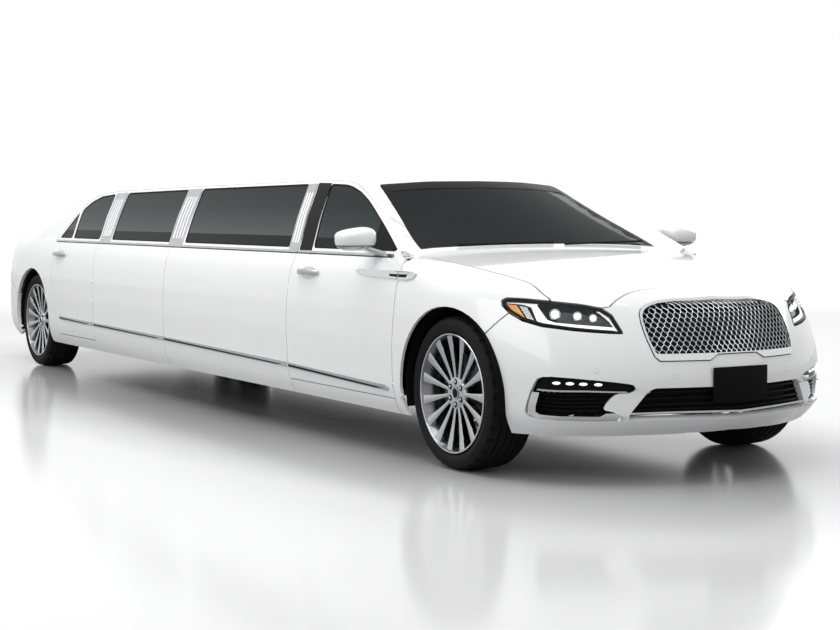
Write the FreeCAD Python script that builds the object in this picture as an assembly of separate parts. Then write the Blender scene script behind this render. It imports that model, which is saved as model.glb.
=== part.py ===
"""Stretch limousine: a four-door saloon lengthened by 120 inches behind the front doors.

Millimetres. +X runs to the nose, +Y to the car's left, +Z up. The origin is on the ground, midway between
the bumpers and the sides. Each sub-part is written to parts/NODE.step.
"""

import FreeCAD
import Part
import math
import os

Vector = FreeCAD.Vector

# ---- driving dimensions -------------------------------------------------------------------------
WHEELBASE = 6042.0
FRONT_OVERHANG = 930.0
REAR_OVERHANG = 1188.0
HALF_WIDTH = 955.0
BELT_Z = 955.0
CANTRAIL_Z = 1345.0
ROOF_Z = 1452.0
SILL_Z = 205.0

TYRE_RADIUS = 352.0
TYRE_WIDTH = 245.0
RIM_RADIUS = 275.0
ARCH_ROOM = 45.0

DOOR_WALL = 62.0
PANEL_WALL = 26.0
ROOF_WALL = 28.0
PILLAR_WALL = 42.0
SHUT_GAP = 7.0
LID_GAP = 8.0
SEAM = 0.3
GLASS_THICK = 5.0
GLASS_SEAT = 0.3
GLASS_RECESS = 6.0
FIT = 0.3
BEYOND = 50.0  # how far a cutting block reaches past the body

# ---- places that follow from them ---------------------------------------------------------------
LENGTH = FRONT_OVERHANG + WHEELBASE + REAR_OVERHANG
NOSE_X = LENGTH / 2
TAIL_X = -LENGTH / 2
FRONT_AXLE_X = NOSE_X - FRONT_OVERHANG
REAR_AXLE_X = TAIL_X + REAR_OVERHANG
NOSE_START_X = FRONT_AXLE_X + 200.0
TAIL_START_X = REAR_AXLE_X - 108.0
FRONT_DOOR_X = FRONT_AXLE_X - 445.0
B_PILLAR_X = FRONT_AXLE_X - 1600.0
C_PILLAR_X = REAR_AXLE_X + 1372.0
BUMPER_FRONT_X = FRONT_AXLE_X + 410.0
BUMPER_REAR_X = REAR_AXLE_X - 440.0

ARCH_RADIUS = TYRE_RADIUS + ARCH_ROOM
HALF_TRACK = HALF_WIDTH - 163.0
KINGPIN_Y = HALF_TRACK - 32.0
BELT_Y = HALF_WIDTH - 60.0
RAIL_TOP_Y = HALF_WIDTH - 305.0
CABIN_Y = HALF_WIDTH - 155.0

OUT = "parts"


# ---- small helpers ------------------------------------------------------------------------------
def box(x0, x1, y0, y1, z0, z1):
    """A box between two corners."""
    return Part.makeBox(x1 - x0, y1 - y0, z1 - z0, Vector(x0, y0, z0))


def prism_xz(points, y0, y1):
    """A side-view outline of (x, z) points, extruded from y0 to y1."""
    corners = [Vector(x, y0, z) for x, z in points]
    face = Part.Face(Part.makePolygon(corners + corners[:1]))
    return face.extrude(Vector(0, y1 - y0, 0))


def prism_yz(points, x0, x1):
    """A front-view outline of (y, z) points, extruded from x0 to x1."""
    corners = [Vector(x0, y, z) for y, z in points]
    face = Part.Face(Part.makePolygon(corners + corners[:1]))
    return face.extrude(Vector(x1 - x0, 0, 0))


def prism_xy(points, z0, z1):
    """A plan outline of (x, y) points, extruded from z0 to z1."""
    corners = [Vector(x, y, z0) for x, y in points]
    face = Part.Face(Part.makePolygon(corners + corners[:1]))
    return face.extrude(Vector(0, 0, z1 - z0))


def cylinder(radius, start, end):
    """A round bar from one point to another."""
    along = end - start
    return Part.makeCylinder(radius, along.Length, start, along)


def mirrored(shape):
    """The same piece on the other side of the car."""
    return shape.mirror(Vector(0, 0, 0), Vector(0, 1, 0))


def fused(pieces):
    """Pieces that touch, as one solid."""
    whole = pieces[0].multiFuse(pieces[1:])
    return whole.removeSplitter()


def largest(shape):
    """The biggest solid of a cut, without the slivers beside it."""
    return max(shape.Solids, key=lambda solid: solid.Volume)


def write(name, *shapes):
    """Writes one node's closed solids to its STEP file."""
    solids = [s for shape in shapes for s in shape.Solids]
    if not solids:
        raise ValueError(name + " has no solid")
    Part.Compound(solids).exportStep(os.path.join(OUT, name + ".step"))
    print(name, len(solids), "solids", round(sum(s.Volume for s in solids) / 1e6, 2), "litres")


# ---- outer shape: closed plan outlines stacked from sill to shoulder ----------------------------
# height, half width less than HALF_WIDTH, nose behind NOSE_X, tail ahead of TAIL_X
LOWER_ROWS = [
    (SILL_Z, 55.0, 95.0, 95.0),
    (262.0, 24.0, 18.0, 30.0),
    (345.0, 6.0, 0.0, 6.0),
    (560.0, 0.0, 6.0, 0.0),
    (700.0, 4.0, 62.0, 8.0),
    (800.0, 12.0, 130.0, 22.0),
    (885.0, 28.0, 250.0, 45.0),
    (BELT_Z, 62.0, 420.0, 75.0),
    (1060.0, 190.0, 700.0, 150.0),
]

# height, half width, windscreen centre x, windscreen corner x and y, side start x, side end x,
# rear corner x and y, rear centre x. The x values are from the cowl or from the rear axle.
UPPER_ROWS = [
    (BELT_Z - 15.0, BELT_Y, -400.0, -520.0, BELT_Y - 150.0, -500.0, 150.0, -300.0, BELT_Y - 160.0, -500.0),
    (
        1335.0, RAIL_TOP_Y,
        -1170.0, -1310.0, RAIL_TOP_Y - 90.0, -1375.0,
        650.0, 420.0, RAIL_TOP_Y - 120.0, 250.0,
    ),
    (
        1405.0, RAIL_TOP_Y - 105.0,
        -1390.0, -1520.0, RAIL_TOP_Y - 220.0, -1600.0,
        930.0, 760.0, RAIL_TOP_Y - 240.0, 620.0,
    ),
    (
        ROOF_Z, RAIL_TOP_Y - 350.0,
        -2150.0, -2300.0, RAIL_TOP_Y - 420.0, -2450.0,
        2050.0, 1900.0, RAIL_TOP_Y - 420.0, 1800.0,
    ),
]


def nose_point(share, across, nose, half):
    """A point of the nose outline: share of the way from NOSE_START_X to the tip, share of half width."""
    return NOSE_START_X + share * (nose - NOSE_START_X), across * half


def lower_outline(z, half, nose, tail):
    """The plan outline at one height: nose arc, corner arcs, straight sides, tail arcs."""
    front_side = (NOSE_START_X, half)
    front_mid = nose_point(0.5, 0.845, nose, half)
    front_end = nose_point(0.83, 0.526, nose, half)
    run = TAIL_START_X - tail
    rear_mid = (TAIL_START_X - 0.55 * run, 0.912 * half)
    rear_end = (TAIL_START_X - 0.86 * run, 0.65 * half)

    def at(point, side=1):
        return Vector(point[0], side * point[1], z)

    rear_side = (TAIL_START_X, half)
    edges = [
        Part.Arc(at(front_end, -1), Vector(nose, 0, z), at(front_end)).toShape(),
        Part.Arc(at(front_end), at(front_mid), at(front_side)).toShape(),
        Part.LineSegment(at(front_side), at(rear_side)).toShape(),
        Part.Arc(at(rear_side), at(rear_mid), at(rear_end)).toShape(),
        Part.Arc(at(rear_end), Vector(tail, 0, z), at(rear_end, -1)).toShape(),
        Part.Arc(at(rear_end, -1), at(rear_mid, -1), at(rear_side, -1)).toShape(),
        Part.LineSegment(at(rear_side, -1), at(front_side, -1)).toShape(),
        Part.Arc(at(front_side, -1), at(front_mid, -1), at(front_end, -1)).toShape(),
    ]
    return Part.Wire(edges)


def lower_hull(inset):
    """The closed lower body, taken in by inset on every side."""
    wires = []
    for z, narrower, nose_back, tail_ahead in LOWER_ROWS:
        half = HALF_WIDTH - narrower - inset
        nose = NOSE_X - nose_back - inset
        tail = TAIL_X + tail_ahead + inset
        wires.append(lower_outline(z, half, nose, tail))
    return Part.makeLoft(wires, True, True)


def upper_hull(inset, drop):
    """The closed glasshouse, taken in by inset on its sides and by drop from the roof."""
    wires = []
    for z, half, screen, corner_x, corner_y, side_front, side_back, rear_x, rear_y, rear_mid in UPPER_ROWS:
        high = z - drop if z > BELT_Z else z
        flank = half - inset
        front = [
            (FRONT_AXLE_X + corner_x - inset, corner_y - inset * 0.6),
            (FRONT_AXLE_X + side_front - inset, flank),
        ]
        back = [
            (REAR_AXLE_X + side_back + inset, flank),
            (REAR_AXLE_X + rear_x + inset, rear_y - inset * 0.6),
        ]
        screen_x = FRONT_AXLE_X + screen - inset
        rear_mid_x = REAR_AXLE_X + rear_mid + inset
        left = [Vector(x, y, high) for x, y in front + back]
        right = [Vector(x, -y, high) for x, y in reversed(front + back)]
        edges = [
            Part.Arc(right[3], Vector(screen_x, 0, high), left[0]).toShape(),
            Part.LineSegment(left[0], left[1]).toShape(),
            Part.LineSegment(left[1], left[2]).toShape(),
            Part.LineSegment(left[2], left[3]).toShape(),
            Part.Arc(left[3], Vector(rear_mid_x, 0, high), right[0]).toShape(),
            Part.LineSegment(right[0], right[1]).toShape(),
            Part.LineSegment(right[1], right[2]).toShape(),
            Part.LineSegment(right[2], right[3]).toShape(),
        ]
        wires.append(Part.Wire(edges))
    return Part.makeLoft(wires, True, True)


# Side view of the body's top from nose to tail, without the glasshouse.
TOP_LINE = [
    (NOSE_X - 150.0, 742.0),
    (NOSE_X - 200.0, 790.0),
    (NOSE_X - 290.0, 824.0),
    (FRONT_AXLE_X + 350.0, 893.0),
    (FRONT_AXLE_X - 50.0, 948.0),
    (FRONT_AXLE_X - 480.0, 992.0),
]
DECK_LINE = [
    (REAR_AXLE_X - 290.0, 1028.0),
    (REAR_AXLE_X - 800.0, 1006.0),
    (TAIL_X + 60.0, 975.0),
    (TAIL_X - 20.0, 940.0),
]
COWL_X = FRONT_AXLE_X - 480.0
DECK_X = REAR_AXLE_X - 290.0
DECK_Y = BELT_Y - 183.0

# Shut lines as (x, z) points, drawn on the car's side. Each runs from sill to roof.
FRONT_DOOR_FRONT = [
    (FRONT_DOOR_X - 20.0, 292.0),
    (FRONT_DOOR_X - 22.0, 500.0),
    (FRONT_DOOR_X + 8.0, 900.0),
    (FRONT_DOOR_X + 6.0, 955.0),
    (FRONT_DOOR_X - 185.0, 985.0),
    (FRONT_DOOR_X - 960.0, 1335.0),
    (FRONT_DOOR_X - 995.0, CANTRAIL_Z),
]
FRONT_DOOR_REAR = [
    (B_PILLAR_X, 292.0),
    (B_PILLAR_X - 12.0, 600.0),
    (B_PILLAR_X + 4.0, 960.0),
    (B_PILLAR_X - 218.0, CANTRAIL_Z),
]
REAR_DOOR_FRONT = [
    (C_PILLAR_X + 4.0, 292.0),
    (C_PILLAR_X - 2.0, 600.0),
    (C_PILLAR_X - 30.0, 960.0),
    (C_PILLAR_X - 252.0, 1320.0),
]
REAR_DOOR_REAR = [
    (REAR_AXLE_X + 620.0, 292.0),
    (REAR_AXLE_X + 560.0, 430.0),
    (REAR_AXLE_X + 480.0, 640.0),
    (REAR_AXLE_X + 440.0, 860.0),
    (REAR_AXLE_X + 410.0, 968.0),
    (REAR_AXLE_X + 560.0, 1262.0),
    (REAR_AXLE_X + 790.0, 1316.0),
]
# Window openings as closed (x, z) outlines on the side of the glasshouse.
WINDOW_BOTTOM_Z = 976.0
WINDOW_TOP_Z = 1320.0
FRONT_WINDOW = [
    (B_PILLAR_X + 150.0, WINDOW_BOTTOM_Z),
    (FRONT_DOOR_X - 300.0, WINDOW_BOTTOM_Z),
    (FRONT_DOOR_X - 962.0, 1300.0),
    (B_PILLAR_X - 60.0, WINDOW_TOP_Z),
]
LONG_WINDOW = [
    (B_PILLAR_X - 1609.0, WINDOW_BOTTOM_Z),
    (B_PILLAR_X - 119.0, WINDOW_BOTTOM_Z),
    (B_PILLAR_X - 326.0, WINDOW_TOP_Z),
    (B_PILLAR_X - 1806.0, 1303.0),
]
MIDDLE_WINDOW = [
    (C_PILLAR_X + 169.0, WINDOW_BOTTOM_Z),
    (C_PILLAR_X + 1230.0, WINDOW_BOTTOM_Z),
    (C_PILLAR_X + 1040.0, 1300.0),
    (C_PILLAR_X - 33.0, 1288.0),
]
REAR_WINDOW_SIDE = [
    (REAR_AXLE_X + 745.0, WINDOW_BOTTOM_Z),
    (C_PILLAR_X - 70.0, WINDOW_BOTTOM_Z),
    (C_PILLAR_X - 275.0, 1284.0),
    (REAR_AXLE_X + 780.0, 1268.0),
    (REAR_AXLE_X + 612.0, 1232.0),
]
QUARTER_LIGHT = [
    (REAR_AXLE_X + 455.0, WINDOW_BOTTOM_Z),
    (REAR_AXLE_X + 722.0, WINDOW_BOTTOM_Z),
    (REAR_AXLE_X + 588.0, 1215.0),
]
# Windscreen and rear window openings as (y, z) outlines seen from the front and rear.
def symmetrical(half):
    """A closed outline from the points of its left half, top to bottom or bottom to top."""
    return half + [(-y, z) for y, z in reversed(half)]


SCREEN_OUTLINE = symmetrical(
    [(BELT_Y - 195.0, 985.0), (RAIL_TOP_Y - 100.0, 1322.0), (RAIL_TOP_Y - 350.0, 1331.0)]
)
REAR_OUTLINE = symmetrical(
    [(BELT_Y - 195.0, 1045.0), (RAIL_TOP_Y - 110.0, 1300.0), (RAIL_TOP_Y - 350.0, 1328.0)]
)

SKIN_AXIS_Y = HALF_WIDTH - 11.0
FRONT_HINGE_X = FRONT_DOOR_X + 16.0
REAR_HINGE_X = C_PILLAR_X + 30.0


def skin_y(z):
    """Half width of the car's side at a height, along its straight part."""
    rows = [(row[0], HALF_WIDTH - row[1]) for row in LOWER_ROWS if row[0] <= BELT_Z]
    rows += [(row[0], row[1]) for row in UPPER_ROWS[1:]]
    for (z0, y0), (z1, y1) in zip(rows, rows[1:]):
        if z <= z1:
            return y0 + (y1 - y0) * max(0.0, z - z0) / (z1 - z0)
    return rows[-1][1]


def door_space(front_line, rear_line, hinge_x, gap):
    """The space of a right-hand door, taken in by gap. Its rear edge leans so that it swings clear."""
    outer_y = -(HALF_WIDTH + 120.0)
    inner_y = -(HALF_WIDTH - 460.0)
    wires = []
    for plane_y in (outer_y, inner_y):
        corners = [Vector(x, plane_y, z) for x, z in front_line]
        for x, z in reversed(rear_line):
            reach = SKIN_AXIS_Y - skin_y(z) + DOOR_WALL
            lean = 1.12 * reach / (hinge_x - x)
            corners.append(Vector(x + lean * (plane_y + skin_y(z)), plane_y, z))
        outline = Part.makePolygon(corners + corners[:1])
        if gap:
            outline = outline.makeOffset2D(-gap, 2)
        wires.append(outline)
    return Part.makeLoft(wires, True, True)


def behind_frame(offset):
    """The space inboard of the front door's window frame, where the fixed screen pillar stands."""
    low = PILLAR_WALL + 8.0 - offset
    return prism_yz(
        [(low - BELT_Y, BELT_Z), (low - RAIL_TOP_Y, CANTRAIL_Z), (0.0, CANTRAIL_Z), (0.0, BELT_Z)],
        FRONT_AXLE_X - 1500.0,
        FRONT_AXLE_X,
    )


# ---- blanks shared by many panels ---------------------------------------------------------------
def body_top_prism(drop):
    """Everything under the bonnet, belt and boot lines, lowered by drop."""
    points = [(NOSE_X + BEYOND, 100.0), (NOSE_X + BEYOND, 742.0 - drop)]
    points += [(x, z - drop) for x, z in TOP_LINE]
    points += [(COWL_X, BELT_Z - drop), (DECK_X, BELT_Z - drop)]
    points += [(x, z - drop) for x, z in DECK_LINE]
    points += [(TAIL_X - BEYOND, 940.0 - drop), (TAIL_X - BEYOND, 100.0)]
    return prism_xz(points, -HALF_WIDTH - BEYOND, HALF_WIDTH + BEYOND)


def arch_space(axle_x, side, radius):
    """The round space of a wheel arch on one side, open downwards."""
    y0, y1 = (300.0, HALF_WIDTH + 60.0) if side > 0 else (-HALF_WIDTH - 60.0, -300.0)
    round_part = cylinder(radius, Vector(axle_x, y0, TYRE_RADIUS), Vector(axle_x, y1, TYRE_RADIUS))
    below = box(axle_x - radius, axle_x + radius, y0, y1, 0.0, TYRE_RADIUS)
    return round_part.fuse(below)


LOWER = lower_hull(0.0).common(body_top_prism(0.0))
LOWER_THIN = lower_hull(PANEL_WALL).common(body_top_prism(PANEL_WALL))
LOWER_THICK = lower_hull(DOOR_WALL)
UPPER = upper_hull(0.0, 0.0)
UPPER_INSIDE = upper_hull(PILLAR_WALL, ROOF_WALL)
GLASS_SHELL = upper_hull(GLASS_RECESS, GLASS_RECESS).cut(
    upper_hull(GLASS_RECESS + GLASS_THICK, GLASS_RECESS + GLASS_THICK)
)

FRONT_DOOR_SPACE = door_space(FRONT_DOOR_FRONT, FRONT_DOOR_REAR, FRONT_HINGE_X, 0.0).cut(behind_frame(0.0))
REAR_DOOR_SPACE = door_space(REAR_DOOR_FRONT, REAR_DOOR_REAR, REAR_HINGE_X, 0.0)
SCREEN_SPACE = prism_yz(SCREEN_OUTLINE, FRONT_AXLE_X - 1500.0, FRONT_AXLE_X - 300.0)
REAR_SPACE = prism_yz(REAR_OUTLINE, REAR_AXLE_X - 600.0, REAR_AXLE_X + 620.0)


def side_wall():
    """The right-hand wall of door thickness: lower body and glasshouse together."""
    low = LOWER.cut(LOWER_THICK).common(
        box(TAIL_X - BEYOND, NOSE_X, -HALF_WIDTH - BEYOND, -300.0, 100.0, BELT_Z)
    )
    high = UPPER.cut(UPPER_INSIDE).cut(SCREEN_SPACE).cut(REAR_SPACE)
    high = high.common(box(TAIL_X, NOSE_X, -HALF_WIDTH, -300.0, BELT_Z, CANTRAIL_Z))
    ledge = box(
        REAR_AXLE_X - 300.0, FRONT_AXLE_X - 560.0, -BELT_Y, -BELT_Y + 43.0, BELT_Z - 40.0, BELT_Z + 12.0
    )
    return fused([low, high, ledge.common(UPPER)])


SIDE_WALL = side_wall()


# ---- body shell ---------------------------------------------------------------------------------
def window_prism(outline, shrink=0.0):
    """A right-hand window opening, or the pane in it when shrunk."""
    if shrink:
        corners = [Vector(x, 0, z) for x, z in outline]
        wire = Part.makePolygon(corners + corners[:1])
        face = Part.Face(wire.makeOffset2D(-shrink, 2))
        face.translate(Vector(0, -HALF_WIDTH - BEYOND, 0))
        return face.extrude(Vector(0, 500.0, 0))
    return prism_xz(outline, -HALF_WIDTH - BEYOND, -450.0)


def pane(outline):
    """A flat pane set in a right-hand window opening."""
    return GLASS_SHELL.common(window_prism(outline, GLASS_SEAT))


def screen_pane(outline, x0, x1):
    """A windscreen or rear window, seen along the car as a (y, z) outline."""
    corners = [Vector(x0, y, z) for y, z in outline]
    wire = Part.makePolygon(corners + corners[:1]).makeOffset2D(-GLASS_SEAT, 2)
    return GLASS_SHELL.common(Part.Face(wire).extrude(Vector(x1 - x0, 0, 0)))


def body_side():
    """Right side of the body: sill, pillars, stretch wall and quarter panel, with its openings."""
    keep = box(BUMPER_REAR_X, FRONT_DOOR_X - 14.0, -HALF_WIDTH - BEYOND, -300.0, 100.0, CANTRAIL_Z)
    side = SIDE_WALL.common(keep)
    side = side.cut(FRONT_DOOR_SPACE).cut(REAR_DOOR_SPACE)
    side = side.cut(arch_space(REAR_AXLE_X, -1, ARCH_RADIUS))
    for outline in (LONG_WINDOW, MIDDLE_WINDOW):
        side = side.cut(window_prism(outline))
    side = side.cut(box(FRONT_DOOR_X - 100.0, FRONT_DOOR_X, -HALF_WIDTH - BEYOND, -300.0, 292.0, 1000.0))
    quarter_top = LOWER.cut(LOWER_THIN).common(
        box(BUMPER_REAR_X, REAR_AXLE_X - 100.0, -HALF_WIDTH - BEYOND, -DECK_Y, BELT_Z, 1060.0)
    )
    side = fused([side, quarter_top.cut(UPPER)])
    return largest(side)


def roof_panel():
    """The roof skin above the cantrails, screens left open."""
    shell = UPPER.cut(UPPER_INSIDE)
    roof = shell.common(box(TAIL_X, NOSE_X, -HALF_WIDTH, HALF_WIDTH, CANTRAIL_Z, ROOF_Z + BEYOND))
    header = shell.common(box(REAR_AXLE_X, B_PILLAR_X, -300.0, 300.0, 1325.0, CANTRAIL_Z)).cut(REAR_SPACE)
    roof = fused([roof, header])
    return largest(roof)


def front_fender():
    """Right front fender: the side ahead of the door, round arch cut, top folded in to the bonnet."""
    outer = box(
        FRONT_DOOR_X - 14.0 + SEAM, BUMPER_FRONT_X - SEAM, -HALF_WIDTH - BEYOND, -300.0, 100.0, 1050.0
    )
    fender = LOWER.cut(LOWER_THIN).common(outer)
    fender = fender.cut(BONNET_SPACE)
    fender = fender.cut(arch_space(FRONT_AXLE_X, -1, ARCH_RADIUS))
    door_edge = prism_xz(
        FRONT_DOOR_FRONT[:4] + [
            (FRONT_DOOR_FRONT[3][0], 1100.0), (FRONT_DOOR_X - 300.0, 1100.0), (FRONT_DOOR_X - 300.0, 292.0)
        ],
        -HALF_WIDTH - 60.0,
        0.0,
    )
    behind = box(FRONT_DOOR_X - 20.0, BONNET_REAR_X, -BONNET_PLAN[0][1] - SHUT_GAP, 0.0, 600.0, 1100.0)
    fender = fender.cut(door_edge).cut(LAMP_HOLE).cut(behind)
    return largest(fender)


# ---- bonnet, boot lid and bumpers ---------------------------------------------------------------
BONNET_REAR_X = FRONT_AXLE_X - 395.0
BONNET_FRONT_X = NOSE_X - 235.0
BONNET_PLAN = [
    (BONNET_REAR_X, HALF_WIDTH - 185.0),
    (FRONT_AXLE_X, HALF_WIDTH - 210.0),
    (FRONT_AXLE_X + 380.0, HALF_WIDTH - 265.0),
    (FRONT_AXLE_X + 560.0, HALF_WIDTH - 365.0),
    (BONNET_FRONT_X, HALF_WIDTH - 525.0),
]
LID_FRONT_X = REAR_AXLE_X - 470.0
LID_PLAN = [(LID_FRONT_X, DECK_Y - 12.0), (TAIL_X + 300.0, DECK_Y - 22.0), (TAIL_X - 60.0, DECK_Y - 72.0)]
LID_BOTTOM_Z = 705.0


def plan_prism(half_plan, grow, z0, z1):
    """A symmetric plan outline given by its left half, grown by a gap on every side."""
    first, last = half_plan[0][0], half_plan[-1][0]
    sense = 1.0 if last > first else -1.0
    left = []
    for x, y in half_plan:
        shift = -grow * sense if x == first else grow * sense if x == last else 0.0
        left.append((x + shift, y + grow))
    right = [(x, -y) for x, y in reversed(left)]
    return prism_xy(left + right, z0, z1)


BONNET_SPACE = plan_prism(BONNET_PLAN, SHUT_GAP, 640.0, 1100.0)
LID_SPACE = plan_prism(LID_PLAN, LID_GAP, LID_BOTTOM_Z - LID_GAP, 1100.0)


def bonnet():
    """The bonnet skin between the fenders, hinged at its rear edge."""
    skin = body_top_prism(0.0).cut(body_top_prism(PANEL_WALL))
    plan = plan_prism(BONNET_PLAN, 0.0, 640.0, 1100.0)
    return largest(skin.common(plan))


def boot_lid():
    """The boot lid: deck and rear face in one piece, hinged under the rear window."""
    shell = LOWER.cut(LOWER_THIN)
    plan = plan_prism(LID_PLAN, 0.0, LID_BOTTOM_Z, 1100.0)
    return largest(shell.common(plan))


HEADLAMP_SIDE = [
    (FRONT_AXLE_X + 385.0, 806.0),
    (FRONT_AXLE_X + 430.0, 730.0),
    (FRONT_AXLE_X + 620.0, 672.0),
    (NOSE_X - 60.0, 640.0),
    (NOSE_X - 60.0, 700.0),
    (FRONT_AXLE_X + 700.0, 770.0),
    (FRONT_AXLE_X + 560.0, 800.0),
]


HEADLAMP_Y = HALF_WIDTH - 431.0
TAIL_LAMP_Y = DECK_Y - 58.0
LAMP_HOLE = prism_xz(HEADLAMP_SIDE, -HALF_WIDTH - 20.0, -HEADLAMP_Y)


def headlamp():
    """Right headlamp: a closed lamp body let into the corner of the nose."""
    outline = prism_xz(HEADLAMP_SIDE, -HALF_WIDTH, -HEADLAMP_Y - FIT)
    lamp = lower_hull(1.0).common(body_top_prism(1.0)).common(outline)
    lamp = lamp.cut(lower_hull(110.0)).cut(BONNET_SPACE)
    return largest(lamp)


TAIL_LAMP_SIDE = [
    (TAIL_X - 30.0, 905.0),
    (TAIL_X + 420.0, 890.0),
    (TAIL_X + 330.0, 800.0),
    (TAIL_X + 220.0, 740.0),
    (TAIL_X - 30.0, 730.0),
]


def tail_lamp():
    """Right tail lamp, wrapped round the rear corner."""
    outline = prism_xz(TAIL_LAMP_SIDE, -HALF_WIDTH, -TAIL_LAMP_Y - FIT)
    lamp = lower_hull(1.0).common(outline).cut(lower_hull(90.0)).cut(LID_SPACE)
    return largest(lamp)


GRILLE_Y = HALF_WIDTH - 540.0
GRILLE_OUTLINE = symmetrical(
    [(GRILLE_Y, 768.0), (GRILLE_Y + 25.0, 740.0), (GRILLE_Y + 10.0, 640.0), (GRILLE_Y - 30.0, 520.0)]
)
INTAKE_OUTLINE = symmetrical([(GRILLE_Y - 15.0, 400.0), (GRILLE_Y + 105.0, 275.0)])
FOG_IN_Y = GRILLE_Y + 185.0
FOG_OUTLINE = [
    (FOG_IN_Y, 415.0), (HALF_WIDTH - 95.0, 440.0), (HALF_WIDTH - 75.0, 300.0), (FOG_IN_Y + 20.0, 290.0)
]


def front_bumper():
    """The nose cover with openings for grille, lower intake, fog lamps and headlamps."""
    keep = box(BUMPER_FRONT_X, NOSE_X + 10.0, -HALF_WIDTH, HALF_WIDTH, 100.0, 900.0)
    cover = LOWER.cut(LOWER_THIN).common(keep)
    cover = cover.cut(BONNET_SPACE)
    grille_hole = prism_yz(GRILLE_OUTLINE, NOSE_X - 330.0, NOSE_X + BEYOND)
    intake_hole = prism_yz(INTAKE_OUTLINE, NOSE_X - 330.0, NOSE_X + BEYOND)
    cover = cover.cut(grille_hole).cut(intake_hole)
    for side in (1, -1):
        fog = prism_yz([(side * y, z) for y, z in FOG_OUTLINE], NOSE_X - 600.0, NOSE_X + BEYOND)
        cover = cover.cut(fog)
    cover = cover.cut(LAMP_HOLE).cut(mirrored(LAMP_HOLE))
    return largest(cover)


def rear_bumper():
    """The tail cover below and beside the boot lid."""
    keep = box(TAIL_X - 10.0, BUMPER_REAR_X - SEAM, -HALF_WIDTH, HALF_WIDTH, 100.0, 1100.0)
    cover = LOWER.cut(LOWER_THIN).common(keep)
    cover = cover.cut(LID_SPACE)
    cover = cover.cut(box(LID_FRONT_X - 40.0, BUMPER_REAR_X + 50.0, -DECK_Y, DECK_Y, 700.0, 1100.0))
    lamp_hole = prism_xz(TAIL_LAMP_SIDE, -HALF_WIDTH - 20.0, -TAIL_LAMP_Y)
    cover = cover.cut(lamp_hole).cut(mirrored(lamp_hole))
    return largest(cover)


def grille_insert(outline, recess, thickness):
    """A plate behind an opening in the nose, following the nose in plan."""
    outer = lower_hull(recess)
    plate = outer.cut(lower_hull(recess + thickness))
    hole = prism_yz(outline, NOSE_X - 400.0, NOSE_X + BEYOND)
    return sorted(plate.common(hole).Solids, key=lambda s: -s.CenterOfMass.x)[0]


def door(end, front_line, rear_line, windows):
    """A right-hand door with its window openings cut and its hinge straps."""
    hinge_x = DOOR_HINGES[end][0]
    leaf = SIDE_WALL.common(door_space(front_line, rear_line, hinge_x, SHUT_GAP))
    if end == "front":
        leaf = leaf.cut(behind_frame(SHUT_GAP))
    for outline in windows:
        leaf = leaf.cut(window_prism(outline))
    return with_straps(largest(leaf), end)


# ---- door hinges --------------------------------------------------------------------------------
HINGE_PIN = 4.0
HINGE_EYE = 7.5
HINGE_PLAY = 0.3
HINGE_TALL = 26.0
DOOR_HINGE_Z = (510.0, 600.0)


def hinge_strap(hinge_x, z, reach, back):
    """A door's hinge strap: eye on the pin, neck reaching inwards, then back into the door's edge."""
    y = -SKIN_AXIS_Y
    z0 = z - HINGE_TALL / 2
    eye = Part.makeCylinder(HINGE_EYE, HINGE_TALL, Vector(hinge_x, y, z0))
    neck = prism_xy(
        [
            (hinge_x - 5.0, y),
            (hinge_x + 4.0, y + 2.0),
            (hinge_x - 7.0, y + reach + 4.0),
            (hinge_x - 18.0, y + reach + 4.0),
        ],
        z0,
        z0 + HINGE_TALL,
    )
    leaf = box(hinge_x - back, hinge_x - 8.0, y + reach - 4.0, y + reach + 4.0, z0, z0 + HINGE_TALL)
    bore = Part.makeCylinder(HINGE_PIN + HINGE_PLAY, HINGE_TALL + 10.0, Vector(hinge_x, y, z0 - 5.0))
    return fused([eye, neck, leaf]).cut(bore)


def hinge_pocket(hinge_x, z, reach):
    """The hollow in the body round a strap, and the fixed pin that crosses it."""
    y = -SKIN_AXIS_Y
    z0 = z - HINGE_TALL / 2 - 5.0
    tall = HINGE_TALL + 10.0
    hollow = box(hinge_x - 60.0, hinge_x + 14.0, y - 8.7, y + reach + 10.0, z0, z0 + tall)
    pin = Part.makeCylinder(HINGE_PIN, tall + 8.0, Vector(hinge_x, y, z0 - 4.0))
    return hollow, pin


# hinge line, inward reach of the neck, length of the leaf behind the pin
DOOR_HINGES = {"front": (FRONT_HINGE_X, 40.0, 62.0), "rear": (REAR_HINGE_X, 34.0, 66.0)}


def with_pins(panel, end):
    """A body panel with its hinge pockets and pins."""
    hinge_x, reach, back = DOOR_HINGES[end]
    for z in DOOR_HINGE_Z:
        hollow, pin = hinge_pocket(hinge_x, z, reach)
        panel = largest(panel.cut(hollow)).fuse(pin)
    return largest(panel)


def with_straps(leaf, end):
    """A door with its hinge straps."""
    hinge_x, reach, back = DOOR_HINGES[end]
    return fused([leaf] + [hinge_strap(hinge_x, z, reach, back) for z in DOOR_HINGE_Z])


# ---- door mirror --------------------------------------------------------------------------------
MIRROR_X = FRONT_DOOR_X - 245.0
MIRROR_Z = 1045.0
MIRROR_REACH = 153.0


def door_mirror():
    """Right door mirror: a rounded housing on a short foot."""
    head = box(
        MIRROR_X - 62.0, MIRROR_X + 62.0, -HALF_WIDTH - MIRROR_REACH, -HALF_WIDTH + 25.0, MIRROR_Z - 55.0,
        MIRROR_Z + 60.0
    )
    head = head.makeFillet(26.0, head.Edges)
    foot = box(
        MIRROR_X - 60.0, MIRROR_X - 15.0, -HALF_WIDTH - 5.0, -BELT_Y + 60.0, MIRROR_Z - 52.0,
        MIRROR_Z - 24.0
    )
    return largest(fused([head, foot]).cut(UPPER).cut(LOWER))


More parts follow.
